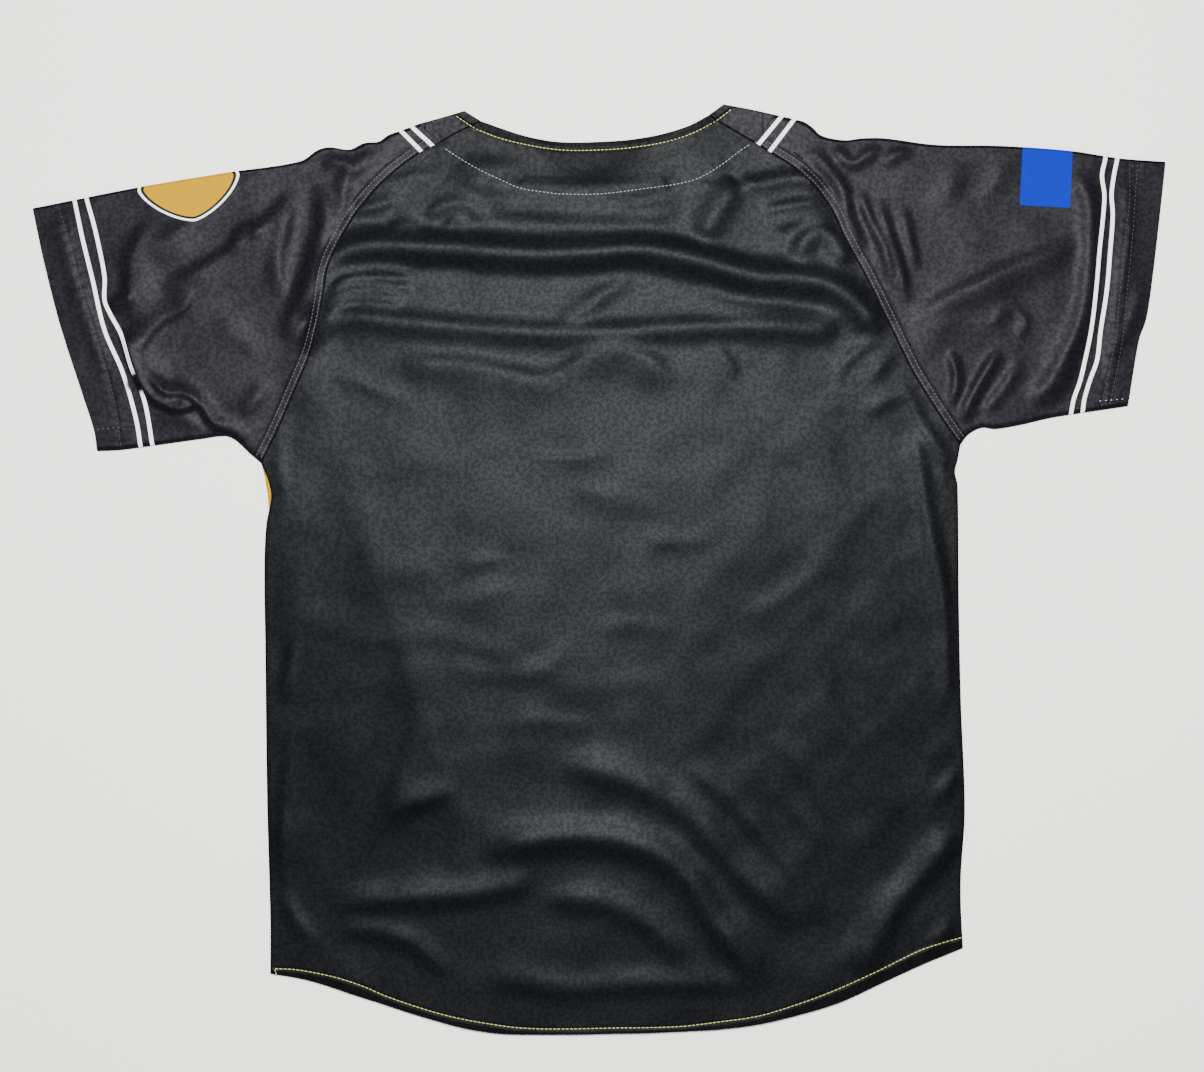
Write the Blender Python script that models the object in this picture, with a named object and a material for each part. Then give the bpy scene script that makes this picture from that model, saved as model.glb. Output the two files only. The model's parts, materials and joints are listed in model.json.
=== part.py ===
"""Baseball jersey laid face down on a table, with its back upwards.

Metres, +Z up. +X runs to the right and +Y towards the neck, as seen from above.
The origin is the middle of the jersey's outline, on the table. The pieces are the
back, two fronts that overlap at a buttoned placket, two sleeves folded flat, and
the two shoulder pieces that join the sleeves to the neck.
"""

import math
from collections import namedtuple

import bmesh
import bpy
import numpy as np
from mathutils import Matrix

# Driving sizes
CHEST_WIDTH = 0.580
CLOTH = 0.0014
LAYER_GAP = 0.0006
SEAM_GAP = 0.0003
HEM_RISE = 0.0006
CUFF_HEM = 0.024
BODY_HEM = 0.008
BODY_DOME = 0.0019
BODY_MIDDLE = (0.0, 0.2)
PLACKET_WIDTH = 0.034
STAND_START = 0.002
STAND_RISE = 0.010
NECK_DROP_Y = 290.0
NECK_HOLLOW = 10.0
FRONT_HEM_INSET = 2.0
HEM_INSET_REACH = 0.15
DROOP_START = 0.004
DROOP_REACH = 0.028
DROOP_SIDE = 0.040
BUTTON_COUNT = 6
BUTTON_RADIUS = 0.0056
BUTTON_BEVEL = 0.0003
BUTTON_THICKNESS = 0.0011
BUTTON_SIDES = 20
BUTTON_FIRST_Y = 272.0
BUTTON_PITCH = 110.0
FOLD_MARGIN = 0.015

# The tables below are in mm, drawn for a chest 580 mm wide
MM = CHEST_WIDTH / 580.0

# Heights worked out from the cloth
FLAT_HEIGHT = 2 * CLOTH + LAYER_GAP
ROUND = FLAT_HEIGHT / 2
ROUND_INSIDE = ROUND - CLOTH
STAND_LIFT = CLOTH + SEAM_GAP

Point = namedtuple("Point", "x y")
Fold = namedtuple("Fold", "name height half_width path")

# Where the panels meet, and where they end
HEM = [
    Point(-274, -337), Point(-241, -343), Point(-191, -359), Point(-141, -374.8),
    Point(-107, -383.4), Point(-74, -387.5), Point(34, -386.5), Point(76, -384.8), Point(101, -383.3),
    Point(134, -379), Point(167.5, -371.2), Point(201, -360.8), Point(234, -345.8),
    Point(267.5, -330.4), Point(303.3, -315.6),
]
NECK = [
    Point(-98.3, 373.3), Point(-65.8, 362), Point(-45, 357.4), Point(-26.7, 355.8),
    Point(0.8, 356.4), Point(25.8, 358), Point(50.8, 362), Point(75, 369.4), Point(91.7, 378.3),
]
LEFT_SIDE = [
    Point(-274, -337), Point(-274, -292), Point(-276.7, -192), Point(-278.3, -59),
    Point(-279, -1), Point(-277.5, 36.7), Point(-273.3, 60), Point(-275.8, 74), Point(-281.7, 88.3),
]
LEFT_RAGLAN = [
    Point(-281.7, 88.3), Point(-267.5, 117.5), Point(-250.8, 155.8), Point(-238.3, 186.7),
    Point(-230.8, 220), Point(-225.8, 250.8), Point(-215.8, 274.2), Point(-197.5, 303.3),
    Point(-174.2, 328.3), Point(-147.5, 348.3), Point(-132.5, 355.8),
]
LEFT_YOKE_SEAM = [Point(-132.5, 355.8), Point(-117, 364.5), Point(-98.3, 373.3)]
RIGHT_SIDE = [
    Point(303.3, -315.6), Point(301.7, -280), Point(301.7, -255), Point(305, -201), Point(301.7, -109),
    Point(300, -26), Point(299, 70), Point(296.7, 81), Point(299.4, 92.5), Point(301.2, 103.3),
]
RIGHT_RAGLAN = [
    Point(301.2, 103.3), Point(284, 128.3), Point(260.8, 165.8), Point(242.5, 203.3),
    Point(224.2, 240.8), Point(205, 275.8), Point(190.8, 305), Point(167.5, 330.8),
    Point(142.5, 347.5), Point(130, 355.4),
]
RIGHT_YOKE_SEAM = [Point(130, 355.4), Point(112.5, 365.5), Point(91.7, 378.3)]

LEFT_SLEEVE_FOLD = [
    Point(-472.1, 300.8), Point(-384.2, 318.3), Point(-309.2, 330.8), Point(-249.2, 340),
    Point(-234.2, 349.6), Point(-224.2, 351.7), Point(-208, 349.8), Point(-195.8, 355.2),
    Point(-183.5, 356.5), Point(-175.8, 361.8), Point(-165.8, 365.4), Point(-150, 371.3),
]
LEFT_CUFF = [
    Point(-472.1, 300.8), Point(-462.5, 255.8), Point(-449.2, 204.2), Point(-430.8, 146.7),
    Point(-420.8, 115.8), Point(-418.3, 98.3),
]
LEFT_UNDERARM = [
    Point(-418.3, 98.3), Point(-399.2, 99.2), Point(-374.2, 102.5), Point(-332.5, 108.3),
    Point(-311.7, 110.8), Point(-303.3, 107.5), Point(-290.8, 96), Point(-281.7, 88.3),
]
LEFT_SHOULDER_FOLD = [Point(-150, 371.3), Point(-131, 376.5), Point(-112.5, 382)]
RIGHT_SLEEVE_FOLD = [
    Point(472.1, 339.6), Point(434.2, 342.5), Point(392.5, 348.8), Point(334.2, 352.9),
    Point(280, 353.8), Point(238.3, 359.2), Point(219.2, 359.2), Point(206, 357.6),
    Point(192, 359.4), Point(184, 362.4), Point(178.3, 367.9), Point(171.7, 372.6), Point(165, 374.6),
    Point(146.7, 378.8),
]
RIGHT_CUFF = [
    Point(472.1, 339.6), Point(467.5, 295), Point(460, 232.5), Point(455.8, 207.5),
    Point(450, 190.8), Point(440.8, 135.8),
]
RIGHT_UNDERARM = [
    Point(440.8, 135.8), Point(396.7, 129.2), Point(375.8, 125.8), Point(350.8, 120),
    Point(330, 116.7), Point(319.2, 117.7), Point(308, 112.1), Point(301.2, 103.3),
]
RIGHT_SHOULDER_FOLD = [Point(146.7, 378.8), Point(126, 383.4), Point(104.2, 387.5)]
CENTRE_FRONT = [Point(14.6, -387), Point(-3.3, NECK_DROP_Y)]

# The front rolls out past the back here, under the arm
PEEK_WIDTH = 3.2
PEEK_Y = 66.0
PEEK_REACH = 17.0

# The largest folds: height and half width in mm, then the crest from end to end
FOLDS = [
    Fold("across the shoulder blades", 5.0, 9.0, [
        Point(-221, 254), Point(-204, 269), Point(-166, 270), Point(-99, 267), Point(-32, 264),
        Point(34, 266), Point(61, 262), Point(84, 254), Point(118, 249), Point(159, 246),
        Point(191, 237), Point(209, 226), Point(228, 203)]),
    Fold("below the shoulder blades", 2.6, 9.0, [
        Point(-231, 191), Point(-212, 202), Point(-108, 201), Point(-49, 198), Point(18, 199),
        Point(68, 196), Point(134, 201), Point(186, 203)]),
    Fold("below the neck", 2.5, 14.0, [
        Point(-166, 287), Point(-108, 290), Point(-32, 298), Point(42, 290), Point(76, 282)]),
    Fold("right of the neck, slanted", 2.8, 7.5, [
        Point(122, 323), Point(108, 309), Point(97, 289), Point(86, 276)]),
    Fold("right of the neck, level", 2.0, 7.0, [Point(119, 322), Point(147, 325), Point(172, 318)]),
    Fold("right shoulder", 3.4, 11.0, [Point(172, 290), Point(194, 276), Point(211, 256)]),
    Fold("lower back sweep", 4.0, 11.0, [
        Point(-66, -231), Point(-32, -224), Point(18, -224), Point(47, -234), Point(76, -263),
        Point(109, -297), Point(147, -328)]),
    Fold("lower back, upper sweep", 2.6, 12.0, [
        Point(1, -167), Point(34, -192), Point(76, -222), Point(109, -251), Point(142, -280)]),
    Fold("lower left, level", 2.4, 10.0, [
        Point(-212, -266), Point(-149, -262), Point(-82, -259), Point(-45, -252)]),
    Fold("lower left, near the hem", 2.0, 12.0, [
        Point(-199, -297), Point(-141, -305), Point(-99, -319), Point(-49, -326)]),
    Fold("lower right, slanted", 3.4, 12.0, [
        Point(292, -200), Point(272, -230), Point(238, -267), Point(219, -317)]),
    Fold("left sleeve, beside the seam", 2.8, 9.0, [
        Point(-231, 320), Point(-226, 291), Point(-238, 262), Point(-252, 224)]),
    Fold("left sleeve, from the shoulder", 2.6, 11.0, [
        Point(-255, 325), Point(-275, 308), Point(-303, 287), Point(-341, 266)]),
    Fold("left sleeve, beside the stripes", 3.0, 9.0, [
        Point(-406, 222), Point(-386, 234), Point(-380, 256), Point(-372, 287)]),
    Fold("left sleeve, underarm tuck", 3.8, 9.0, [
        Point(-391, 174), Point(-374, 156), Point(-345, 149), Point(-318, 130)]),
    Fold("right sleeve, beside the seam", 2.6, 8.0, [
        Point(238, 337), Point(245, 287), Point(246, 237)]),
    Fold("right sleeve, slanted", 2.6, 10.0, [
        Point(276, 199), Point(298, 221), Point(342, 246), Point(385, 254)]),
    Fold("right sleeve, beside the stripes", 2.6, 9.0, [
        Point(399, 324), Point(409, 282), Point(405, 228), Point(396, 187), Point(376, 152)]),
    Fold("right sleeve, underarm", 2.4, 8.0, [Point(303, 134), Point(315, 158), Point(328, 187)]),
]

# Rows up each edge, as shares of each stretch
SIDE_ROWS = np.concatenate([np.linspace(0.0, 0.89, 12), [0.92, 0.945, 0.97, 1.0]])
RAGLAN_ROWS = np.concatenate([
    np.linspace(0.0, 0.32, 5)[:-1], np.linspace(0.32, 0.74, 16)[:-1], np.linspace(0.74, 1.0, 5),
])
YOKE_ROWS = np.array([0.0, 0.35, 0.62, 0.67, 1.0])
HEM_STEP = 0.0008
BACK_COLUMNS = 27
FRONT_COLUMNS = 9
STAND_COLUMNS = (0.0075, 0.005, 0.002)
SLEEVE_STATIONS = np.array([
    0.13, 0.26, 0.39, 0.51, 0.60, 0.67, 0.715, 0.76, 0.80, 0.845, 0.89, 0.93, 0.965, 1.0,
])
YOKE_SEAM_STEPS = 3
ROUND_ANGLES = (0.0, 45.0, 90.0)

# Colours, linear
DARK_CLOTH = (0.020, 0.021, 0.024)
SLEEVE_CLOTH = (0.022, 0.021, 0.028)
BUTTON_COLOUR = (0.015, 0.015, 0.016)


def smooth_curve(points, steps=10):
    """A smooth line through the points, in metres, as an array of x, y rows."""
    knots = np.array(points, float) * MM
    ends = np.vstack([2 * knots[0] - knots[1], knots, 2 * knots[-1] - knots[-2]])
    line = []
    for p0, p1, p2, p3 in zip(ends[:-3], ends[1:-2], ends[2:-1], ends[3:]):
        reach = np.linalg.norm(p2 - p1)
        slope1 = (p2 - p0) / max(np.linalg.norm(p2 - p0), 1e-9) * reach
        slope2 = (p3 - p1) / max(np.linalg.norm(p3 - p1), 1e-9) * reach
        for t in np.linspace(0.0, 1.0, steps, endpoint=False):
            a, b = t * t * (3 - 2 * t), t * (1 - t)
            line.append(p1 * (1 - a) + p2 * a + b * (1 - t) * slope1 - b * t * slope2)
    line.append(knots[-1])
    return np.array(line)


def lengths(line):
    """The distance along the line at each of its points."""
    return np.concatenate([[0.0], np.cumsum(np.linalg.norm(np.diff(line, axis=0), axis=1))])


def at_lengths(line, distances):
    """The line's points at these distances along it."""
    along = lengths(line)
    return np.stack([np.interp(distances, along, line[:, axis]) for axis in (0, 1)], axis=-1)


def at_shares(line, shares):
    return at_lengths(line, np.asarray(shares) * lengths(line)[-1])


def at_heights(line, shares):
    """Points on a rising line at these shares of its rise in y."""
    y = line[0, 1] + np.asarray(shares) * (line[-1, 1] - line[0, 1])
    return np.stack([np.interp(y, line[:, 1], line[:, 0]), y], axis=-1)


def moved_towards(points, target, distance):
    """The points moved square to their own line, to the side where the target lies."""
    along = np.gradient(points, axis=0)
    along /= np.linalg.norm(along, axis=1)[:, None]
    square = np.stack([-along[:, 1], along[:, 0]], axis=-1)
    side = np.sign(((np.asarray(target) - points) * square).sum(axis=1))
    return points + square * (side * distance)[:, None]


def distance_to(line, xy):
    """The distance from each xy to the line, and the share of the line where it is nearest."""
    start, step = line[:-1], np.diff(line, axis=0)
    away = xy[..., None, :] - start
    share = np.clip((away * step).sum(-1) / (step * step).sum(-1), 0.0, 1.0)
    gaps = np.linalg.norm(away - share[..., None] * step, axis=-1)
    nearest = gaps.argmin(axis=-1)
    along = lengths(line)
    part = np.take_along_axis(share, nearest[..., None], -1)[..., 0]
    reach = along[nearest] + part * (along[nearest + 1] - along[nearest])
    return gaps.min(axis=-1), reach / along[-1]


def ease(x):
    x = np.clip(x, 0.0, 1.0)
    return x * x * (3 - 2 * x)


SILHOUETTE = [smooth_curve(line) for line in (
    LEFT_SIDE, RIGHT_SIDE, LEFT_SLEEVE_FOLD, RIGHT_SLEEVE_FOLD, LEFT_UNDERARM, RIGHT_UNDERARM,
    LEFT_SHOULDER_FOLD, RIGHT_SHOULDER_FOLD,
)]
FOLD_LINES = [(fold, smooth_curve(fold.path, 5)) for fold in FOLDS]


def fold_rise(xy):
    """How far the folds lift the upper layer at each xy, fading out at the sides."""
    rise = np.zeros(xy.shape[:-1])
    for fold, line in FOLD_LINES:
        gap, share = distance_to(line, xy)
        crest = fold.height * MM * np.sqrt(np.clip(np.sin(np.pi * share), 0.0, 1.0))
        rise += crest * np.exp(-((gap / (fold.half_width * MM)) ** 2))
    for line in SILHOUETTE:
        rise *= ease(distance_to(line, xy)[0] / FOLD_MARGIN)
    return rise


def centre_x(y):
    """The x of the centre front at a height y."""
    low, high = (np.array(p) * MM for p in CENTRE_FRONT)
    return np.interp(y, [low[1], high[1]], [low[0], high[0]])


def material(name, colour, roughness):
    made = bpy.data.materials.new(name)
    made.use_nodes = True
    shader = made.node_tree.nodes["Principled BSDF"]
    shader.inputs["Base Color"].default_value = (*colour, 1.0)
    shader.inputs["Roughness"].default_value = roughness
    shader.inputs["Metallic"].default_value = 0.0
    return made


def add_object(collection, name, mesh, look):
    made = bpy.data.objects.new(name, mesh)
    made.data.materials.append(look)
    collection.objects.link(made)
    return made


def wall(collection, name, outer, inner, look, ring=False):
    """A cloth wall lofted between two grids of points, outer and inner.

    A ring's columns close on themselves, as round a sleeve; otherwise all four sides are closed off.
    """
    rows, columns = outer.shape[:2]
    builder = bmesh.new()
    layers = [
        [[builder.verts.new(point) for point in row] for row in layer] for layer in (outer, inner)
    ]
    last = columns if ring else columns - 1
    for i in range(rows - 1):
        for j in range(last):
            k = (j + 1) % columns
            for layer in layers:
                builder.faces.new((layer[i][j], layer[i][k], layer[i + 1][k], layer[i + 1][j]))
    for i in (0, rows - 1):
        for j in range(last):
            k = (j + 1) % columns
            builder.faces.new((layers[0][i][j], layers[0][i][k], layers[1][i][k], layers[1][i][j]))
    if not ring:
        for j in (0, columns - 1):
            for i in range(rows - 1):
                builder.faces.new(
                    (layers[0][i][j], layers[0][i + 1][j], layers[1][i + 1][j], layers[1][i][j])
                )
    bmesh.ops.recalc_face_normals(builder, faces=builder.faces)
    if builder.calc_volume(signed=True) < 0:
        bmesh.ops.reverse_faces(builder, faces=builder.faces)
    mesh = bpy.data.meshes.new(name)
    builder.to_mesh(mesh)
    builder.free()
    mesh.shade_smooth()
    mesh.set_sharp_from_angle(angle=math.radians(50))
    return add_object(collection, name, mesh, look)


def edge_columns(rounded, upper):
    """Three columns at a side edge: distance in and height, for the outer and the inner face.

    A rounded edge is half of the fold where back and front meet, and a flat one is a seam's butt.
    """
    sign = 1.0 if upper else -1.0
    columns = []
    for angle in ROUND_ANGLES:
        if rounded:
            c, s = math.cos(math.radians(angle)), sign * math.sin(math.radians(angle))
            lift = sign * SEAM_GAP / 2 if angle == ROUND_ANGLES[0] else 0.0
            columns.append((
                ROUND - ROUND * c, ROUND + ROUND * s + lift,
                ROUND - ROUND_INSIDE * c, ROUND + ROUND_INSIDE * s + lift,
            ))
        else:
            inset = ROUND * angle / ROUND_ANGLES[-1]
            columns.append((inset, ROUND + sign * ROUND, inset, ROUND + sign * ROUND_INSIDE))
    return columns


def body_rows():
    """For each row up the body: left and right ends, whether the edges are rounded, and its share."""
    ends = []
    for side, raglan, yoke in (
        (LEFT_SIDE, LEFT_RAGLAN, LEFT_YOKE_SEAM), (RIGHT_SIDE, RIGHT_RAGLAN, RIGHT_YOKE_SEAM),
    ):
        side_line = smooth_curve(side)
        rise = side_line[-1, 1] - side_line[0, 1]
        hem = np.array([0.0, BODY_HEM / rise, (BODY_HEM + HEM_STEP) / rise])
        shares = np.concatenate([hem, SIDE_ROWS[1:-1]])
        ends.append(np.vstack([
            at_heights(side_line, shares),
            at_heights(smooth_curve(raglan), RAGLAN_ROWS[:-1]),
            at_heights(smooth_curve(yoke), YOKE_ROWS),
        ]))
    left, right = ends
    side_count = len(left) - len(RAGLAN_ROWS) + 1 - len(YOKE_ROWS)
    rounded = np.arange(len(left)) < side_count
    share = (left[:, 1] - left[0, 1]) / (left[-1, 1] - left[0, 1])
    return left, right, rounded, share


LEFT_ROWS, RIGHT_ROWS, ROUNDED_ROWS, ROW_SHARES = body_rows()
RAGLAN_START = int(ROUNDED_ROWS.sum())
YOKE_START = len(LEFT_ROWS) - len(YOKE_ROWS)
HEM_LINE = smooth_curve(HEM)
NECK_LINE = smooth_curve(NECK)


def bow(line, shares):
    """How far a line's y stands off the straight line between its ends, at shares of its width."""
    x = line[0, 0] + np.asarray(shares) * (line[-1, 0] - line[0, 0])
    straight = line[0, 1] + np.asarray(shares) * (line[-1, 1] - line[0, 1])
    return np.interp(x, line[:, 0], line[:, 1]) - straight


def row_points(row, start, end, distances, bows):
    """Points of one row from start to end at these distances, bowed as the hem and the neck are."""
    u = np.asarray(distances) / np.linalg.norm(end - start)
    points = start + u[:, None] * (end - start)
    hem_bow, neck_bow = bows
    share = ROW_SHARES[row]
    points[:, 1] += (1 - share) * hem_bow(u) + share * neck_bow(u)
    return points, u


def seam_inset(points, towards):
    """Body edge points, with those above the underarm moved in to leave the seam's gap."""
    inset = points.copy()
    inset[RAGLAN_START:] = moved_towards(points[RAGLAN_START:], towards, SEAM_GAP / 2)
    return inset


def hem_raised(row):
    return row < 2 or row > len(LEFT_ROWS) - 3


def neck_droop(points):
    """How far the back has come down on the table, from 0 to 1, past the fronts' lower neckline."""
    x, y = points[:, 0], points[:, 1]
    corners = (NECK_LINE[0], np.array([centre_x(NECK_DROP_Y * MM), NECK_DROP_Y * MM]), NECK_LINE[-1])
    front_y = np.interp(x, [corner[0] for corner in corners], [corner[1] for corner in corners])
    past = ease((y - front_y - DROOP_START) / DROOP_REACH)
    for corner in (corners[0], corners[2]):
        past = past * ease(np.abs(x - corner[0]) / DROOP_SIDE)
    return np.where((x > corners[0][0]) & (x < corners[2][0]), past, 0.0)


def build_back(collection, look):
    """The back: side seams, raglan seams, neck and a curved tail, with turned hems."""
    left = seam_inset(LEFT_ROWS, BODY_MIDDLE)
    right = seam_inset(RIGHT_ROWS, BODY_MIDDLE)
    outer, inner = [], []
    bows = (lambda u: bow(HEM_LINE, u), lambda u: bow(NECK_LINE, u))
    for row, (start, end) in enumerate(zip(left, right)):
        width = np.linalg.norm(end - start)
        edge = edge_columns(ROUNDED_ROWS[row], upper=True)
        middle = np.linspace(ROUND, width - ROUND, BACK_COLUMNS)[1:-1]
        faces = []
        for side in (0, 2):
            near = np.array([column[side] for column in edge])
            heights = np.array([column[side + 1] for column in edge])
            distances = np.concatenate([near, middle, width - near[::-1]])
            z = np.concatenate([heights, np.full(len(middle), heights[-1]), heights[::-1]])
            points, u = row_points(row, start, end, distances, bows)
            lift = fold_rise(points) + BODY_DOME * np.sin(np.pi * np.clip(u, 0.0, 1.0))
            lift *= 1 - neck_droop(points)
            lift -= (FLAT_HEIGHT - CLOTH) * neck_droop(points)
            if hem_raised(row) and side == 0:
                lift[len(edge) - 1:1 - len(edge)] += HEM_RISE
            faces.append(np.column_stack([points, z + lift]))
        outer.append(faces[0])
        inner.append(faces[1])
    wall(collection, "back", np.array(outer), np.array(inner), look)


def peek(points):
    """The front's left edge, rolled out past the back under the arm."""
    moved = points.copy()
    reach = (points[:, 1] - PEEK_Y * MM) / (PEEK_REACH * MM)
    moved[:, 0] -= PEEK_WIDTH * MM * np.clip(1 - reach ** 2, 0.0, 1.0)
    return moved


def front_bows(side, centre):
    """How a front's rows bow: along the hem below, and along a hollow V neck above."""

    def hem_bow(u):
        x, straight = (side[0, axis] + u * (centre[0, axis] - side[0, axis]) for axis in (0, 1))
        inset = FRONT_HEM_INSET * MM * ease(u / HEM_INSET_REACH)
        return np.interp(x, HEM_LINE[:, 0], HEM_LINE[:, 1]) + inset - straight

    return hem_bow, lambda u: -NECK_HOLLOW * MM * np.sin(np.pi * u)


def centre_edge(offset):
    """The line at this distance to the right of the centre front, one point for each row."""
    low = np.interp(centre_x(-0.387) + offset, HEM_LINE[:, 0], HEM_LINE[:, 1]) + FRONT_HEM_INSET * MM
    y = low + ROW_SHARES * (NECK_DROP_Y * MM - low)
    return np.column_stack([centre_x(y) + offset, y])


def stand_lift(points):
    """How far the button stand is lifted to pass over the placket."""
    past = points[:, 0] - centre_x(points[:, 1]) - PLACKET_WIDTH / 2 - STAND_START
    return STAND_LIFT * (1 - ease(past / STAND_RISE))


def build_front(collection, name, look, side_points, centre_offset, near_centre, lift_of):
    """One front, from its side seam to its centre edge, its outer face down on the table."""
    centre = centre_edge(centre_offset)
    bows = front_bows(side_points, centre)
    outer, inner = [], []
    for row, (start, end) in enumerate(zip(side_points, centre)):
        width = np.linalg.norm(end - start)
        edge = edge_columns(ROUNDED_ROWS[row], upper=False)
        middle = np.linspace(ROUND, width - near_centre[0], FRONT_COLUMNS)[1:]
        faces = []
        for side in (0, 2):
            near = np.array([column[side] for column in edge])
            heights = np.array([column[side + 1] for column in edge])
            distances = np.concatenate([near, middle, width - np.array(near_centre[1:])])
            z = np.concatenate([heights, np.full(len(distances) - len(near), heights[-1])])
            points, _ = row_points(row, start, end, distances, bows)
            faces.append(np.column_stack([points, z + lift_of(points)]))
        outer.append(faces[0])
        inner.append(faces[1])
    wall(collection, name, np.array(outer), np.array(inner), look)


def build_fronts(collection, look):
    """The wearer's left front, butted to the placket, and the right one, passing over it."""
    left = peek(seam_inset(LEFT_ROWS, BODY_MIDDLE))
    build_front(
        collection, "front_left", look, left, -PLACKET_WIDTH / 2 - SEAM_GAP, (0.0,),
        lambda points: np.zeros(len(points)),
    )
    right = seam_inset(RIGHT_ROWS, BODY_MIDDLE)
    rise_end = STAND_START + STAND_RISE
    past_stand = (rise_end + STAND_START, rise_end, *STAND_COLUMNS)
    build_front(
        collection, "front_right", look, right, -PLACKET_WIDTH / 2,
        (*(PLACKET_WIDTH + past for past in past_stand), PLACKET_WIDTH / 2, 0.0), stand_lift,
    )


def button_places():
    """The centre of each button, down the centre front."""
    y = (BUTTON_FIRST_Y - BUTTON_PITCH * np.arange(BUTTON_COUNT)) * MM
    return np.column_stack([centre_x(y), y])


def build_placket(collection, cutters, look):
    """The placket: a flat strip down the centre front, with a round seat for each button."""
    half = PLACKET_WIDTH / 2
    plan = np.stack([centre_edge(-half)[[0, -1]], centre_edge(half)[[0, -1]]], axis=1)
    under, top = (np.dstack([plan, np.full(plan.shape[:2], z)]) for z in (0.0, CLOTH))
    placket = wall(collection, "placket", under, top, look)
    builder = bmesh.new()
    for x, y in button_places():
        bmesh.ops.create_cone(
            builder, cap_ends=True, segments=BUTTON_SIDES, radius1=BUTTON_RADIUS + SEAM_GAP,
            radius2=BUTTON_RADIUS + SEAM_GAP, depth=4 * CLOTH, matrix=Matrix.Translation((x, y, 0.0)),
        )
    mesh = bpy.data.meshes.new("button_seats")
    builder.to_mesh(mesh)
    builder.free()
    seats = add_object(cutters, "button_seats", mesh, look)
    seats.hide_render = True
    seats.display_type = "WIRE"
    cut = placket.modifiers.new("button seats", "BOOLEAN")
    cut.operation = "DIFFERENCE"
    cut.solver = "EXACT"
    cut.object = seats


def build_buttons(collection, look):
    """The buttons, pressed level with the placket's outer face."""
    builder = bmesh.new()
    bmesh.ops.create_cone(
        builder, cap_ends=True, segments=BUTTON_SIDES, radius1=BUTTON_RADIUS - BUTTON_BEVEL,
        radius2=BUTTON_RADIUS, depth=BUTTON_THICKNESS,
    )
    mesh = bpy.data.meshes.new("button")
    builder.to_mesh(mesh)
    builder.free()
    mesh.materials.append(look)
    for number, (x, y) in enumerate(button_places(), 1):
        button = bpy.data.objects.new(f"button_{number}", mesh)
        collection.objects.link(button)
        button.location = (x, y, BUTTON_THICKNESS / 2)


def layered_row(plan, rise, ring):
    """One section through a folded piece: outer and inner points round it.

    The plan runs from the fold at the shoulder to the other edge. A ring closes there too.
    """
    into = [plan[1] - plan[0], plan[-2] - plan[-1]]
    into = [step / np.linalg.norm(step) for step in into]

    def fold_points(corner, step, angles):
        found = []
        for angle in angles:
            c, s = math.cos(math.radians(angle)), math.sin(math.radians(angle))
            found.append((
                [*(corner + step * (ROUND - ROUND * c)), ROUND + ROUND * s],
                [*(corner + step * (ROUND - ROUND_INSIDE * c)), ROUND + ROUND_INSIDE * s],
            ))
        return found

    top = [([x, y, FLAT_HEIGHT + up], [x, y, FLAT_HEIGHT - CLOTH + up]) for (x, y), up in zip(plan, rise)]
    under = [([x, y, 0.0], [x, y, CLOTH]) for x, y in plan]
    if ring:
        section = (
            fold_points(plan[0], into[0], (0, 45, 90)) + top[1:-1]
            + fold_points(plan[-1], into[1], (90, 45, 0, -45, -90)) + under[-2:0:-1]
            + fold_points(plan[0], into[0], (-90, -45))
        )
    else:
        section = (
            top[:0:-1] + fold_points(plan[0], into[0], (90, 45, 0, -45, -90)) + under[1:]
        )
    return [pair[0] for pair in section], [pair[1] for pair in section]


def build_sleeve(collection, name, look, cuff, fold, underarm, yoke_corner, body_edge):
    """A sleeve folded flat: a tube from the cuff to the raglan seam and the shoulder piece."""
    fold_line, under_line, cuff_line = (smooth_curve(line) for line in (fold, underarm, cuff))
    raglan = body_edge[RAGLAN_START:YOKE_START + 1][::-1]
    across = np.linspace(fold_line[-1], yoke_corner, YOKE_SEAM_STEPS + 1)[:-1]
    seam = moved_towards(np.vstack([across, raglan]), cuff_line.mean(axis=0), SEAM_GAP / 2)
    along = lengths(seam) / lengths(seam)[-1]
    cuff_points = at_shares(cuff_line, along)
    first = np.array([0.0, CUFF_HEM, CUFF_HEM + HEM_STEP])
    outer, inner = [], []
    edges = []
    for line in (fold_line, under_line):
        total = lengths(line)[-1]
        distances = np.concatenate([first, first[-1] + SLEEVE_STATIONS * (total - first[-1])])
        edges.append((at_lengths(line, distances), distances / total))
    (fold_points, fold_share), (under_points, under_share) = edges
    cuff_bow = cuff_points - (cuff_points[0] + along[:, None] * (cuff_points[-1] - cuff_points[0]))
    seam_bow = seam - (seam[0] + along[:, None] * (seam[-1] - seam[0]))
    for station in range(len(fold_points)):
        start, end = fold_points[station], under_points[station]
        if station == len(fold_points) - 1:
            start, end = seam[0], seam[-1]
        share = (fold_share[station] + along * (under_share[station] - fold_share[station]))[:, None]
        plan = start + along[:, None] * (end - start) + (1 - share) * cuff_bow + share * seam_bow
        rise = fold_rise(plan) + (HEM_RISE if station < 2 else 0.0)
        section = layered_row(plan, rise, ring=True)
        outer.append(section[0])
        inner.append(section[1])
    wall(collection, name, np.array(outer), np.array(inner), look, ring=True)


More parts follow.
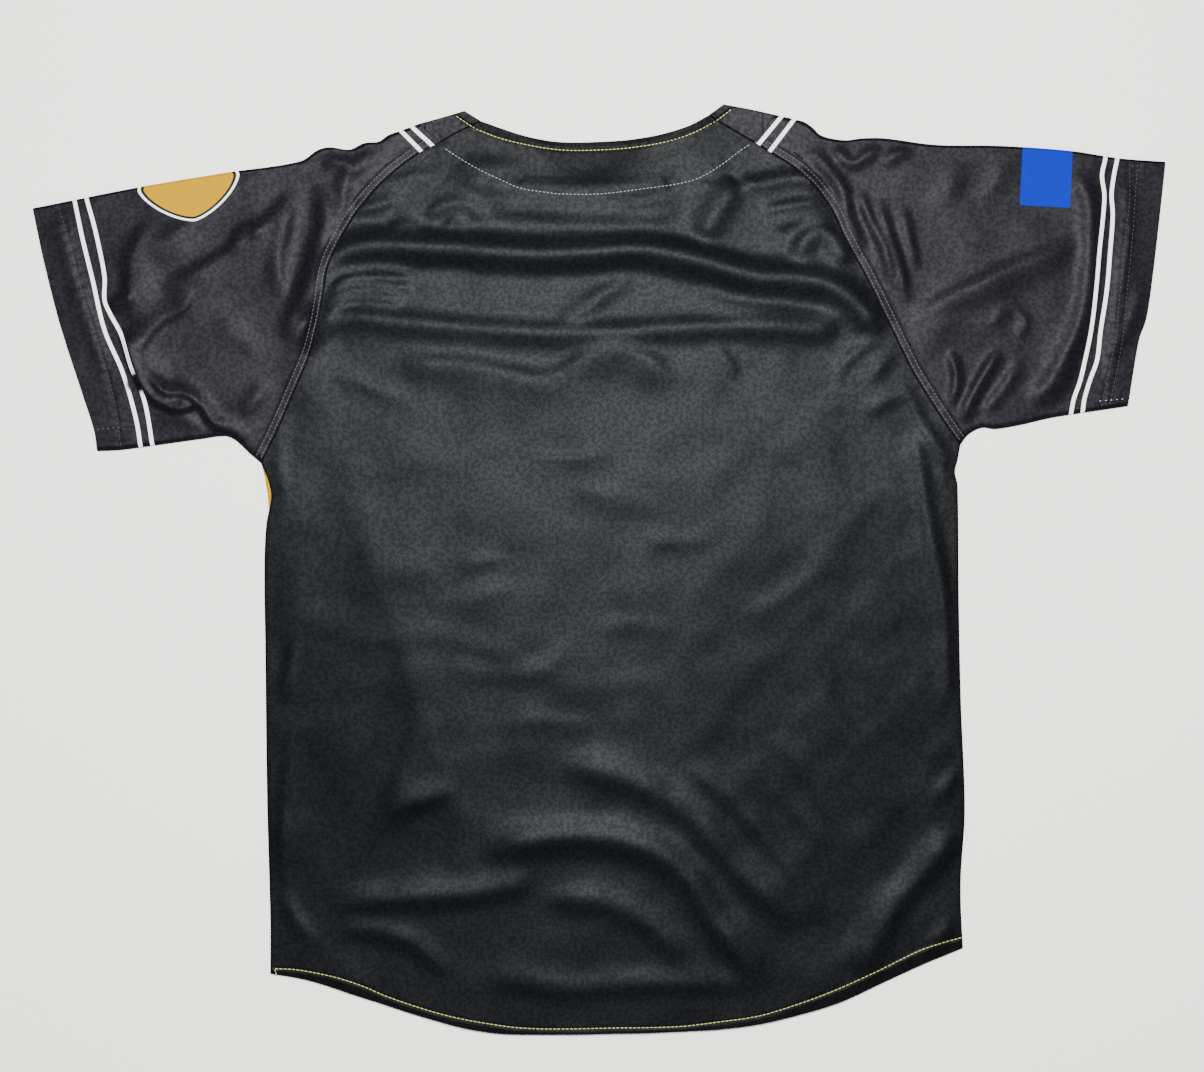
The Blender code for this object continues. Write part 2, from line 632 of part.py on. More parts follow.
def build_shoulder(collection, name, look, fold, body_edge):
    """The shoulder piece: from the sleeve's seam to the neck, folded over the shoulder."""
    seam = moved_towards(body_edge[YOKE_START:], smooth_curve(fold).mean(axis=0), SEAM_GAP / 2)
    fold_points = at_shares(smooth_curve(fold), YOKE_ROWS)
    for line in (seam, fold_points):
        step = line[1] - line[0]
        line[0] += step / np.linalg.norm(step) * SEAM_GAP
    outer, inner = [], []
    for row, (start, end) in enumerate(zip(fold_points, seam)):
        plan = np.linspace(start, end, YOKE_SEAM_STEPS + 1)
        rise = fold_rise(plan) + (HEM_RISE if row > len(YOKE_ROWS) - 3 else 0.0)
        section = layered_row(plan, rise, ring=False)
        outer.append(section[0])
        inner.append(section[1])
    wall(collection, name, np.array(outer), np.array(inner), look)


def clear_scene():
    for item in list(bpy.data.objects):
        bpy.data.objects.remove(item, do_unlink=True)


def main():
    clear_scene()
    collection = bpy.data.collections.new("baseball_jersey")
    cutters = bpy.data.collections.new("cutters")
    for group in (collection, cutters):
        bpy.context.scene.collection.children.link(group)
    body_cloth = material("body_cloth", DARK_CLOTH, 0.6)
    sleeve_cloth = material("sleeve_cloth", SLEEVE_CLOTH, 0.55)
    button_look = material("button", BUTTON_COLOUR, 0.35)
    build_back(collection, body_cloth)
    build_fronts(collection, body_cloth)
    build_placket(collection, cutters, body_cloth)
    build_buttons(collection, button_look)
    build_sleeve(
        collection, "sleeve_left", sleeve_cloth, LEFT_CUFF, LEFT_SLEEVE_FOLD, LEFT_UNDERARM,
        np.array(LEFT_RAGLAN[-1]) * MM, LEFT_ROWS,
    )
    build_sleeve(
        collection, "sleeve_right", sleeve_cloth, RIGHT_CUFF, RIGHT_SLEEVE_FOLD, RIGHT_UNDERARM,
        np.array(RIGHT_RAGLAN[-1]) * MM, RIGHT_ROWS,
    )
    build_shoulder(collection, "shoulder_left", sleeve_cloth, LEFT_SHOULDER_FOLD, LEFT_ROWS)
    build_shoulder(collection, "shoulder_right", sleeve_cloth, RIGHT_SHOULDER_FOLD, RIGHT_ROWS)


main()
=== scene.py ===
"""Looks of a baseball jersey laid face down on a pale table.

Plan positions and heights are worked out in millimetres, and meshes are made in metres.
+X runs to the right and +Y towards the neck as seen from above, and +Z is up.
"""

from __future__ import annotations

import json
import logging
import math
from dataclasses import dataclass, field
from enum import Enum
from typing import Any, Callable, Sequence

import bmesh
import bpy
import numpy as np
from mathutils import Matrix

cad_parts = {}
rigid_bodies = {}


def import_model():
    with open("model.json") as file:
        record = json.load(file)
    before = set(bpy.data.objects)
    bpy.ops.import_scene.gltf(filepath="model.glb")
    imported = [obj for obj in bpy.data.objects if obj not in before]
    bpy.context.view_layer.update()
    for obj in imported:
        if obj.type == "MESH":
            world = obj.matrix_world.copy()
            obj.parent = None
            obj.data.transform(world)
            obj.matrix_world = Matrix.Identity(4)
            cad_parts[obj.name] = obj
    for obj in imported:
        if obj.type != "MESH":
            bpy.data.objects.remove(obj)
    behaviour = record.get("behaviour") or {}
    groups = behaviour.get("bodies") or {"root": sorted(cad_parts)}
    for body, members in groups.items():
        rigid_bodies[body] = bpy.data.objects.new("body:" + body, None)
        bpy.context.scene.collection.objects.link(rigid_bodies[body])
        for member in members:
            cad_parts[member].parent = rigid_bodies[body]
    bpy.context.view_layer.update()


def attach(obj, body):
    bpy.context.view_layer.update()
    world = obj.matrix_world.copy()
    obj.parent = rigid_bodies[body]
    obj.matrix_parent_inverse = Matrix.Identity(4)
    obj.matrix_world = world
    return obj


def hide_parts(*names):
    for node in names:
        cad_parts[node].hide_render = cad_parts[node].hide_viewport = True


log = logging.getLogger("jersey")

Points = Sequence[tuple[float, float]]
Array = np.ndarray

TO_METRES = 0.001
CLOTH = 1.4
SHELL = 0.8
LAYER_GAP = 0.6
SEAM_GAP = 0.3
FLAT = 2 * CLOTH + LAYER_GAP
ROUND = FLAT / 2
ROUND_INSIDE = ROUND - SHELL
CUFF_HEM = 24.0

HEM: Points = (
    (-274, -337), (-241, -343), (-191, -359), (-141, -374.8), (-107, -383.4), (-74, -387.5),
    (34, -386.5), (76, -384.8), (101, -383.3), (134, -379), (167.5, -371.2), (201, -360.8),
    (234, -345.8), (267.5, -330.4), (303.3, -315.6),
)
NECK: Points = (
    (-98.3, 373.3), (-65.8, 362), (-45, 357.4), (-26.7, 355.8), (0.8, 356.4), (25.8, 358),
    (50.8, 362), (75, 369.4), (91.7, 378.3),
)
LEFT_SIDE: Points = (
    (-274, -337), (-274, -292), (-276.7, -192), (-278.3, -59), (-279, -1), (-277.5, 36.7),
    (-273.3, 60), (-275.8, 74), (-281.7, 88.3),
)
LEFT_RAGLAN: Points = (
    (-281.7, 88.3), (-267.5, 117.5), (-250.8, 155.8), (-238.3, 186.7), (-230.8, 220),
    (-225.8, 250.8), (-215.8, 274.2), (-197.5, 303.3), (-174.2, 328.3), (-147.5, 348.3),
    (-132.5, 355.8),
)
LEFT_YOKE: Points = ((-132.5, 355.8), (-117, 364.5), (-98.3, 373.3))
RIGHT_SIDE: Points = (
    (303.3, -315.6), (301.7, -280), (301.7, -255), (305, -201), (301.7, -109), (300, -26),
    (299, 70), (296.7, 81), (299.4, 92.5), (301.2, 103.3),
)
RIGHT_RAGLAN: Points = (
    (301.2, 103.3), (284, 128.3), (260.8, 165.8), (242.5, 203.3), (224.2, 240.8), (205, 275.8),
    (190.8, 305), (167.5, 330.8), (142.5, 347.5), (130, 355.4),
)
RIGHT_YOKE: Points = ((130, 355.4), (112.5, 365.5), (91.7, 378.3))
LEFT_FOLD: Points = (
    (-472.1, 300.8), (-384.2, 318.3), (-309.2, 330.8), (-249.2, 340), (-234.2, 349.6),
    (-224.2, 351.7), (-208, 349.8), (-195.8, 355.2), (-183.5, 356.5), (-175.8, 361.8),
    (-165.8, 365.4), (-150, 371.3),
)
LEFT_CUFF: Points = (
    (-472.1, 300.8), (-462.5, 255.8), (-449.2, 204.2), (-430.8, 146.7), (-420.8, 115.8),
    (-418.3, 98.3),
)
LEFT_UNDERARM: Points = (
    (-418.3, 98.3), (-399.2, 99.2), (-374.2, 102.5), (-332.5, 108.3), (-311.7, 110.8),
    (-303.3, 107.5), (-290.8, 96), (-281.7, 88.3),
)
LEFT_SHOULDER: Points = ((-150, 371.3), (-131, 376.5), (-112.5, 382))
RIGHT_FOLD: Points = (
    (472.1, 339.6), (434.2, 342.5), (392.5, 348.8), (334.2, 352.9), (280, 353.8), (238.3, 359.2),
    (219.2, 359.2), (206, 357.6), (192, 359.4), (184, 362.4), (178.3, 367.9), (171.7, 372.6),
    (165, 374.6), (146.7, 378.8),
)
RIGHT_CUFF: Points = (
    (472.1, 339.6), (467.5, 295), (460, 232.5), (455.8, 207.5), (450, 190.8), (440.8, 135.8),
)
RIGHT_UNDERARM: Points = (
    (440.8, 135.8), (396.7, 129.2), (375.8, 125.8), (350.8, 120), (330, 116.7), (319.2, 117.7),
    (308, 112.1), (301.2, 103.3),
)
RIGHT_SHOULDER: Points = ((146.7, 378.8), (126, 383.4), (104.2, 387.5))
CENTRE_FRONT: Points = ((14.6, -387), (-3.3, 290))


class Side(Enum):
    """The side of the jersey as the wearer has it, which is also the side seen here."""

    LEFT = -1
    RIGHT = 1


def ease(x: Array) -> Array:
    """A smooth step from 0 to 1."""
    x = np.clip(x, 0.0, 1.0)
    return x * x * (3 - 2 * x)


class Line:
    """A smooth line on the table, through a few plan points in millimetres."""

    def __init__(self, points: Points | Array, steps: int = 10, smooth: bool = True) -> None:
        """Draws the line.

        Args:
            points: the plan points it passes through.
            steps: how many short straights join two points.
            smooth: False keeps the straights between the points.
        """
        knots = np.array(points, float)
        self.points = self._curve(knots, steps) if smooth else knots
        steps_along = np.linalg.norm(np.diff(self.points, axis=0), axis=1)
        self.along = np.concatenate([[0.0], np.cumsum(steps_along)])
        self.length = float(self.along[-1])

    @staticmethod
    def _curve(knots: Array, steps: int) -> Array:
        """The points of a smooth curve through the knots.

        Args:
            knots: the plan points it passes through.
            steps: how many short straights join two of them.

        Returns:
            The curve's points.
        """
        ends = np.vstack([2 * knots[0] - knots[1], knots, 2 * knots[-1] - knots[-2]])
        line = []
        for p0, p1, p2, p3 in zip(ends[:-3], ends[1:-2], ends[2:-1], ends[3:]):
            reach = np.linalg.norm(p2 - p1)
            slope1 = (p2 - p0) / max(np.linalg.norm(p2 - p0), 1e-9) * reach
            slope2 = (p3 - p1) / max(np.linalg.norm(p3 - p1), 1e-9) * reach
            for t in np.linspace(0.0, 1.0, steps, endpoint=False):
                a, b = t * t * (3 - 2 * t), t * (1 - t)
                line.append(p1 * (1 - a) + p2 * a + b * (1 - t) * slope1 - b * t * slope2)
        line.append(knots[-1])
        return np.array(line)

    def at(self, distances: Array) -> Array:
        """The points at these distances along the line."""
        return np.stack([np.interp(distances, self.along, self.points[:, k]) for k in (0, 1)], -1)

    def at_shares(self, shares: Array) -> Array:
        """The points at these shares of the line's length."""
        return self.at(np.asarray(shares) * self.length)

    def at_heights(self, shares: Array) -> Array:
        """The points at these shares of a rising line's rise towards the neck."""
        y = self.points[0, 1] + np.asarray(shares) * (self.points[-1, 1] - self.points[0, 1])
        return np.stack([np.interp(y, self.points[:, 1], self.points[:, 0]), y], -1)

    def bow(self, shares: Array) -> Array:
        """How far the line stands off the straight between its ends, at shares of its width.

        Args:
            shares: shares of the line's width, from 0 to 1.

        Returns:
            The distances in y, in millimetres.
        """
        first, last = self.points[0], self.points[-1]
        x = first[0] + np.asarray(shares) * (last[0] - first[0])
        straight = first[1] + np.asarray(shares) * (last[1] - first[1])
        return np.interp(x, self.points[:, 0], self.points[:, 1]) - straight

    def near(self, xy: Array, reach: float = 1e9) -> tuple[Array, Array, Array]:
        """Measures points against the line.

        Args:
            xy: plan points, in any array shape that ends in 2.
            reach: points farther than this are given as twice the reach away.

        Returns:
            The distance to the line, the distance along it, and +1 on its left or -1 on its right.
        """
        flat = xy.reshape(-1, 2)
        gap = np.full(len(flat), 2 * reach)
        along = np.zeros(len(flat))
        side = np.ones(len(flat))
        low, high = self.points.min(0) - reach, self.points.max(0) + reach
        close = np.flatnonzero(((flat >= low) & (flat <= high)).all(1))
        start, step = self.points[:-1], np.diff(self.points, axis=0)
        size = (step * step).sum(-1)
        for part in np.array_split(close, max(1, len(close) * len(start) // 2_000_000)):
            away = flat[part, None, :] - start
            share = np.clip((away * step).sum(-1) / size, 0.0, 1.0)
            off = away - share[..., None] * step
            gaps = np.linalg.norm(off, axis=-1)
            pick = gaps.argmin(-1)
            rows = np.arange(len(part))
            gap[part] = gaps[rows, pick]
            along[part] = self.along[pick] + share[rows, pick] * np.sqrt(size[pick])
            cross = step[pick, 0] * off[rows, pick, 1] - step[pick, 1] * off[rows, pick, 0]
            side[part] = np.where(cross >= 0, 1.0, -1.0)
        shape = xy.shape[:-1]
        return gap.reshape(shape), along.reshape(shape), side.reshape(shape)

    def extended(self, reach: float = 150.0) -> "Line":
        """The same line, with a straight run added at both ends.

        Args:
            reach: how long each run is.

        Returns:
            The longer line.
        """
        back, on = self.points[0] - self.points[1], self.points[-1] - self.points[-2]
        first = self.points[0] + back / np.linalg.norm(back) * reach
        last = self.points[-1] + on / np.linalg.norm(on) * reach
        return Line(np.vstack([first, self.points, last]), smooth=False)

    def signed(self, xy: Array) -> Array:
        """The distance to the line and its straight extensions, negative on the right."""
        gap, _, side = self.extended().near(xy)
        return gap * side


@dataclass
class Crease:
    """One soft ridge, or with a negative height one trough.

    The path's left side falls off over near, and its right side over far.
    """

    name: str
    height: float
    near: float
    far: float
    path: Points
    taper: float = 30.0

    def rise(self, xy: Array) -> Array:
        """How far the crease lifts the cloth at each point.

        Args:
            xy: the plan points.

        Returns:
            The lift at each, in millimetres.
        """
        line = Line(self.path, 6)
        gap, along, side = line.near(xy, 3.2 * max(self.near, self.far))
        width = np.where(side > 0, self.near, self.far)
        taper = min(0.46 * line.length, max(self.taper, 1.2 * max(self.near, self.far)))
        crest = ease(np.minimum(along, line.length - along) / taper) ** 0.7
        return self.height * crest * np.exp(-((gap / width) ** 2))


CREASES: tuple[Crease, ...] = (
    Crease("across the shoulder blades", 5.3, 12.0, 13.0, (
        (-243, 206), (-234, 232), (-223, 255), (-210, 265), (-187, 269.5), (-166, 269), (-124, 267),
        (-82, 264), (-41, 262.5), (1, 264), (34, 266), (63, 262.5), (84, 257), (126, 245), (167, 242),
        (197, 234), (217, 219), (236, 194)), taper=22.0),
    Crease("below the shoulder blades", 3.0, 8.5, 11.0, (
        (-246, 178), (-236, 196), (-222, 207), (-205, 210), (-166, 206), (-124, 202.5),
        (-82, 199), (-32, 197),
        (17, 198), (67, 201), (118, 202.5), (167, 201), (201, 197.5)), taper=18.0),
    Crease("shoulder blades, scalloped", 2.3, 8.0, 18.0, (
        (-166, 172.5), (-99, 167.5), (-49, 157.5), (-28, 164), (-7.5, 177.5), (17.5, 181), (42.5, 172.5),
        (63, 153))),
    Crease("below the neck", 1.8, 8.0, 12.0, ((-99, 303), (-32, 297), (34, 297), (76, 303))),
    Crease("neck centre", 2.3, 14.0, 11.0, ((-124, 332.5), (-66, 316), (1, 314), (67.5, 324))),
    Crease("neck, left", 1.1, 7.0, 9.0, ((-126, 338), (-91, 336), (-57.5, 336))),
    Crease("neck, right", 0.8, 8.0, 9.0, ((24, 334), (60, 340), (92, 350))),
    Crease("above the shoulder blades", -0.9, 8.0, 8.0, (
        (-212, 288), (-166, 288), (-99, 286), (-32, 286), (34, 284), (84, 276), (117, 268), (160, 268))),
    Crease("under the upper fold", -0.9, 9.0, 9.0, (
        (-212, 244), (-149, 246), (-49, 240), (1, 240), (34, 244), (67, 238), (134, 222), (192, 215))),
    Crease("left blade, first short", 1.7, 3.6, 4.6, (
        (-240, 206), (-229, 229), (-216, 244), (-199, 248), (-178, 249), (-152, 246)), taper=14.0),
    Crease("left blade, second short", 1.7, 3.6, 4.8, (
        (-243, 192), (-232, 216), (-219, 231), (-201, 237.5), (-180, 237), (-152, 234)), taper=14.0),
    Crease("left blade, third short", 1.6, 3.8, 5.4, (
        (-246, 182), (-235, 205), (-221, 221), (-202.5, 227.5), (-184, 227), (-160, 224)), taper=14.0),
    Crease("left of the neck, ring", 1.4, 6.0, 7.0, (
        (-142, 288), (-134, 300), (-118, 305), (-104, 300), (-98, 286)), taper=12.0),
    Crease("left of the neck, inner ring", 1.2, 4.0, 4.0, (
        (-128, 284), (-119, 291), (-108, 284)), taper=8.0),
    Crease("left of the neck, slanted", 1.6, 8.0, 4.8, (
        (-208, 297), (-187, 302), (-162, 311)), taper=16.0),
    Crease("left of the neck, upper", 1.3, 7.0, 7.0, (
        (-196, 316), (-170, 322), (-148, 328), (-120, 322))),
    Crease("left of the neck, low", 1.2, 5.0, 5.0, ((-176, 282), (-160, 288), (-148, 282)), taper=10.0),
    Crease("right of the neck, slanted", 2.7, 10.0, 13.0, (
        (117, 324), (106, 307.5), (94, 289), (84, 271)), taper=16.0),
    Crease("right of the neck, level", 2.4, 5.5, 8.5, (
        (114, 321), (138, 323), (167.5, 326), (188, 318)), taper=16.0),
    Crease("right of the neck, second level", 1.8, 4.2, 6.4, (
        (134, 299), (159, 302.5), (194, 308)), taper=16.0),
    Crease("right of the neck, third level", 1.5, 3.8, 5.6, (
        (140, 286), (167.5, 292), (200, 296)), taper=16.0),
    Crease("right shoulder", 3.0, 8.0, 12.0, (
        (165, 254), (171, 273), (186, 281), (199, 271), (207, 250)), taper=16.0),
    Crease("right blade, lower", 1.3, 6.0, 8.0, ((78, 226), (118, 218), (160, 214), (214, 206))),
    Crease("right blade, slanted", 1.6, 7.0, 9.0, (
        (34, 245), (9, 232.5), (-12, 216), (-36, 208)), taper=18.0),
    Crease("right blade, fan", 1.2, 6.0, 7.0, ((88, 190), (108, 172), (118, 150))),
    Crease("right armhole, fan", 1.5, 5.0, 6.0, ((243, 196), (222, 186), (204, 170), (196, 150))),
    Crease("right armhole, upper fan", 1.3, 5.0, 6.0, ((250, 184), (236, 170), (224, 152))),
    Crease("right armhole, lower fan", 1.2, 6.0, 8.0, ((268, 150), (244, 142), (216, 124))),
    Crease("middle, slanted", 0.9, 8.0, 12.0, ((-32, 66), (17, 59), (67, 49))),
    Crease("middle, first ripple", 0.7, 6.0, 8.0, ((-60, 96), (-22, 92), (12, 100))),
    Crease("middle, second ripple", 0.7, 6.0, 8.0, ((30, 30), (66, 22), (96, 30))),
    Crease("middle left", 0.9, 8.0, 12.0, ((-140, -36), (-99, -22), (-60, -14))),
    Crease("middle left, ripple", 0.7, 5.0, 7.0, ((-120, -2), (-92, 8), (-70, 4))),
    Crease("middle, sagging", 1.0, 8.0, 12.0, ((-130, -80), (-66, -88), (-18, -64))),
    Crease("middle, level", 0.8, 8.0, 10.0, ((-6, -52), (34, -46), (72, -54))),
    Crease("middle, low level", 0.8, 7.0, 10.0, ((-100, -134), (-50, -126), (4, -132))),
    Crease("left blade, slanting down", 0.9, 6.0, 8.0, (
        (-230, 170), (-204, 158), (-176, 146), (-150, 140))),
    Crease("middle, long level", 0.6, 12.0, 12.0, ((-212, -60), (-120, -58), (-20, -96), (60, -88))),
    Crease("lower back sweep", 4.2, 15.0, 12.0, (
        (-99, -244), (-82.5, -231), (-32.5, -224), (17.5, -227.5), (51, -239), (76, -259), (94, -289),
        (117.5, -319), (142, -350)), taper=46.0),
    Crease("lower back, upper sweep", 2.9, 15.0, 12.0, (
        (-40, -160), (-7.5, -167.5), (34, -180), (76, -205), (101, -234), (134, -267.5),
        (180, -300)), taper=46.0),
    Crease("lower back, third sweep", 1.5, 9.0, 10.0, (
        (70, -160), (110, -192), (142, -226), (170, -264), (192, -300))),
    Crease("lower back, fourth sweep", 1.0, 7.0, 8.0, ((140, -176), (168, -206), (196, -238))),
    Crease("lower left, level", 2.8, 13.0, 10.0, (
        (-230, -280), (-166, -274), (-107.5, -271), (-48, -260)), taper=44.0),
    Crease("lower left, tucked", 2.2, 12.0, 8.5, ((-178, -208), (-149, -193), (-118, -181))),
    Crease("lower left, near the hem", 2.2, 12.0, 8.0, (
        (-220, -301), (-182.5, -302.5), (-149, -316), (-124, -341))),
    Crease("lower left, slanting up", 1.2, 10.0, 12.0, (
        (-196, -236), (-176, -200), (-160, -160), (-146, -110))),
    Crease("lower middle", 2.2, 12.0, 10.0, (
        (-54, -273), (1, -277.5), (34, -291), (61, -313), (78, -342)), taper=42.0),
    Crease("above the hem", 1.8, 13.0, 8.0, (
        (-100, -338), (-32.5, -349), (17.5, -346), (67.5, -345), (136, -346)), taper=44.0),
    Crease("lower right, slanted", 3.6, 10.0, 16.0, (
        (298, -218), (272, -251), (248, -280), (227.5, -316), (218, -340)), taper=24.0),
    Crease("lower right, short", 1.6, 6.0, 8.0, ((300, -288), (284, -306), (270, -320))),
    Crease("lower right, edge", 1.5, 6.0, 8.0, ((304, -160), (293, -178), (276, -196))),
    Crease("right, long slanted", 1.0, 9.0, 10.0, ((146, -132), (184, -186), (219, -246))),
    Crease("right, second long slanted", 1.0, 9.0, 10.0, ((180, -96), (217, -150), (255, -212))),
    Crease("right, third long slanted", 0.9, 8.0, 9.0, ((210, -60), (246, -110), (286, -170))),
    Crease("right, cross", 0.8, 9.0, 10.0, ((110, -40), (160, -20), (196, 14))),
    Crease("left side", 1.3, 5.0, 7.0, ((-250, -48), (-256, -80), (-264, -116))),
    Crease("left side, long", 1.2, 5.0, 7.0, ((-254, -136), (-262, -209), (-262, -280))),
    Crease("left side, low", 1.4, 6.0, 8.0, ((-268, -264), (-252, -292), (-232, -318))),
    Crease("right side, long", 1.8, 6.0, 7.0, (
        (262, 118), (268, 84), (275, 40), (284, -6), (290, -48), (292, -118))),
    Crease("right armhole", 1.4, 5.0, 6.0, ((252, 158), (268, 124), (284, 98), (293, 66))),
    Crease("left armhole", 0.9, 5.0, 7.0, ((-262, 132), (-266, 96), (-262, 50))),
    Crease("left sleeve, beside the seam", 3.0, 9.0, 8.0, (
        (-232, 322), (-228, 291), (-236, 262), (-248, 224), (-262, 190)), taper=24.0),
    Crease("left sleeve, second beside the seam", 1.8, 6.0, 7.0, (
        (-203, 341), (-212, 322), (-214, 300), (-226, 268))),
    Crease("left sleeve, third beside the seam", 1.6, 6.0, 8.0, (
        (-256, 312), (-262, 284), (-268, 252), (-262, 222))),
    Crease("left sleeve, top", 1.6, 7.0, 7.0, (
        (-186, 350), (-204, 334), (-216, 340), (-232, 336)), taper=16.0),
    Crease("left sleeve, from the shoulder", 2.6, 8.0, 22.0, (
        (-366, 232), (-334, 246), (-303, 266), (-272, 290), (-246, 322)), taper=40.0),
    Crease("left sleeve, middle", 1.7, 8.0, 14.0, ((-376, 262), (-346, 284), (-322, 302), (-300, 318))),
    Crease("left sleeve, ring", 1.2, 5.0, 6.0, (
        (-306, 262), (-300, 278), (-290, 284), (-280, 276)), taper=12.0),
    Crease("left sleeve, beside the stripes", 2.5, 7.0, 20.0, (
        (-401, 214), (-392, 224), (-390, 241), (-389, 256), (-384, 270), (-372, 290)), taper=20.0),
    Crease("left sleeve, across the stripes", 2.0, 4.0, 7.0, (
        (-411, 218), (-399, 223), (-385, 229)), taper=10.0),
    Crease("left sleeve, short hook", 2.0, 12.0, 4.5, (
        (-386, 178), (-374, 197), (-362, 209), (-347, 217), (-338, 236)), taper=22.0),
    Crease("left sleeve, underarm tuck", 4.6, 13.0, 2.4, (
        (-398, 200), (-390, 176), (-385, 162), (-377, 147), (-366, 138), (-351, 133),
        (-330, 138)), taper=18.0),
    Crease("left sleeve, inner tuck", 2.8, 8.0, 3.0, (
        (-376, 164), (-362, 148), (-345, 146), (-334, 139), (-322, 122), (-308, 111),
        (-292, 100)), taper=18.0),
    Crease("left sleeve, low", 1.2, 6.0, 7.0, ((-372, 120), (-350, 128), (-326, 112))),
    Crease("left sleeve, corner", 1.6, 8.0, 8.0, ((-300, 126), (-286, 142), (-274, 158))),
    Crease("left sleeve, slanted", 1.0, 10.0, 11.0, ((-322, 214), (-294, 188), (-268, 176))),
    Crease("left cuff, long", 0.9, 6.0, 8.0, ((-452, 292), (-440, 252), (-424, 204), (-408, 156))),
    Crease("right sleeve, beside the seam", 2.0, 4.5, 5.5, (
        (216, 318), (224, 296), (238, 266), (246, 232)), taper=22.0),
    Crease("right sleeve, second beside the seam", 1.9, 4.5, 5.5, (
        (232, 310), (240, 284), (250, 254), (256, 220)), taper=22.0),
    Crease("right sleeve, third beside the seam", 1.6, 4.5, 6.0, (
        (252, 306), (258, 276), (266, 246)), taper=22.0),
    Crease("right sleeve, shoulder", 2.4, 6.0, 7.0, (
        (174, 352), (190, 334), (202, 318), (208, 292), (222, 262)), taper=22.0),
    Crease("right sleeve, shoulder fork", 1.8, 5.0, 6.0, (
        (196, 354), (209, 338), (222, 344), (234, 354)), taper=12.0),
    Crease("right sleeve, shoulder short", 1.5, 5.0, 6.0, (
        (236, 334), (246, 344), (262, 350)), taper=12.0),
    Crease("right sleeve, under the patch", 1.1, 7.0, 10.0, ((276, 300), (292, 316), (300, 340))),
    Crease("right sleeve, second under the patch", 1.0, 6.0, 9.0, ((312, 306), (330, 322), (338, 342))),
    Crease("right sleeve, slanted", 2.9, 8.5, 15.0, (
        (256, 196), (284, 220), (322, 239), (355, 254), (402, 274)), taper=44.0),
    Crease("right sleeve, second slanted", 0.9, 7.0, 12.0, (
        (262, 190), (286, 202), (316, 206), (346, 204))),
    Crease("right sleeve, ring", 0.9, 4.5, 6.0, (
        (328, 200), (334, 214), (348, 216), (355, 204), (346, 192)), taper=12.0),
    Crease("right sleeve, beside the stripes", 2.8, 8.0, 8.0, (
        (396, 332), (408, 306), (409, 272), (406, 232), (396, 192), (376, 158), (358, 136)), taper=24.0),
    Crease("right sleeve, low", 1.6, 7.0, 8.0, ((396, 176), (382, 152), (366, 136))),
    Crease("right sleeve, underarm", 2.8, 5.0, 6.0, (
        (301, 120), (311, 144), (322, 164), (334, 184)), taper=16.0),
    Crease("right sleeve, second underarm", 2.2, 4.5, 5.0, (
        (292, 134), (298, 158), (292, 184)), taper=16.0),
    Crease("right sleeve, third underarm", 1.6, 4.5, 6.0, (
        (318, 128), (336, 150), (352, 174)), taper=16.0),
    Crease("right cuff, long", 1.0, 5.0, 6.0, (
        (440, 330), (442, 290), (436, 240), (430, 196), (424, 150))),
    Crease("right cuff, low", 1.2, 6.0, 6.0, ((452, 240), (440, 200), (420, 170))),
)


@dataclass
class StitchRow:
    """A row of stitches, with the groove that it pulls and the puckers beside it."""

    name: str
    path: Points
    groove: float = 0.3
    pucker: float = 0.18
    pitch: float = 8.0
    hem_side: int = 0
    hem_rise: float = 0.0

    def __post_init__(self) -> None:
        """Draws the row's line."""
        self.line = Line(self.path, 8)

    def rise(self, xy: Array) -> Array:
        """The groove, puckers and turned hem's step at each point.

        Args:
            xy: the plan points.

        Returns:
            The lift at each, in millimetres.
        """
        gap, along, side = self.line.near(xy, 26.0)
        wave = np.sin(2 * np.pi * along / self.pitch + 1.3 * np.sin(along / 19.0))
        lift = self.pucker * wave * np.exp(-((gap / 5.0) ** 2)) - self.groove * np.exp(-((gap / 1.1) ** 2))
        if self.hem_side:
            lift = lift + self.hem_rise * ease(gap * side * self.hem_side / 1.5)
        return lift


HEM_STITCH = StitchRow("hem", (
    (-270, -333), (-251, -334), (-220, -340), (-198, -347), (-177, -356), (-144, -367), (-122, -373),
    (-90, -379), (-67, -382), (-39, -383), (19, -382), (66, -381), (101, -377), (134, -372),
    (167, -362), (201, -349), (234, -334), (267, -318), (284, -312), (302.5, -307),
), hem_side=-1, hem_rise=0.5, pucker=0.15)
NECK_STITCH = StitchRow("neck", (
    (-119, 377.5), (-111, 372), (-102, 366.6), (-84, 359.4), (-64, 354.2), (-45, 350.6), (-26, 349),
    (1, 349.4), (26, 351), (52, 355), (74, 361.4), (95.6, 372.2), (105, 379), (110.5, 383.4),
), hem_side=1, hem_rise=0.5, pucker=0.1)
FACING_STITCH = StitchRow("facing", (
    (-128, 350), (-116, 342), (-99, 332), (-82, 324), (-66, 317), (-49, 314), (-32, 312), (1, 312),
    (34, 316), (67, 321), (84, 326), (101, 336), (117, 348), (126, 354),
), groove=0.1, pucker=0.1, pitch=11.0)
LEFT_CUFF_STITCH = StitchRow("left cuff", (
    (-451, 305), (-442, 274), (-431, 232), (-418, 191), (-405, 145), (-398, 99),
), groove=0.4, pucker=0.25, pitch=9.0)
RIGHT_CUFF_STITCH = StitchRow("right cuff", (
    (442, 342), (442, 307), (439, 282), (434, 232), (430, 191), (418, 132),
), groove=0.4, pucker=0.25, pitch=9.0)
RIGHT_CUFF_SECOND = StitchRow("right cuff, second", (
    (449, 341), (447, 312), (445, 282), (440, 232), (436, 191), (425, 133),
), groove=0.3, pucker=0.1)

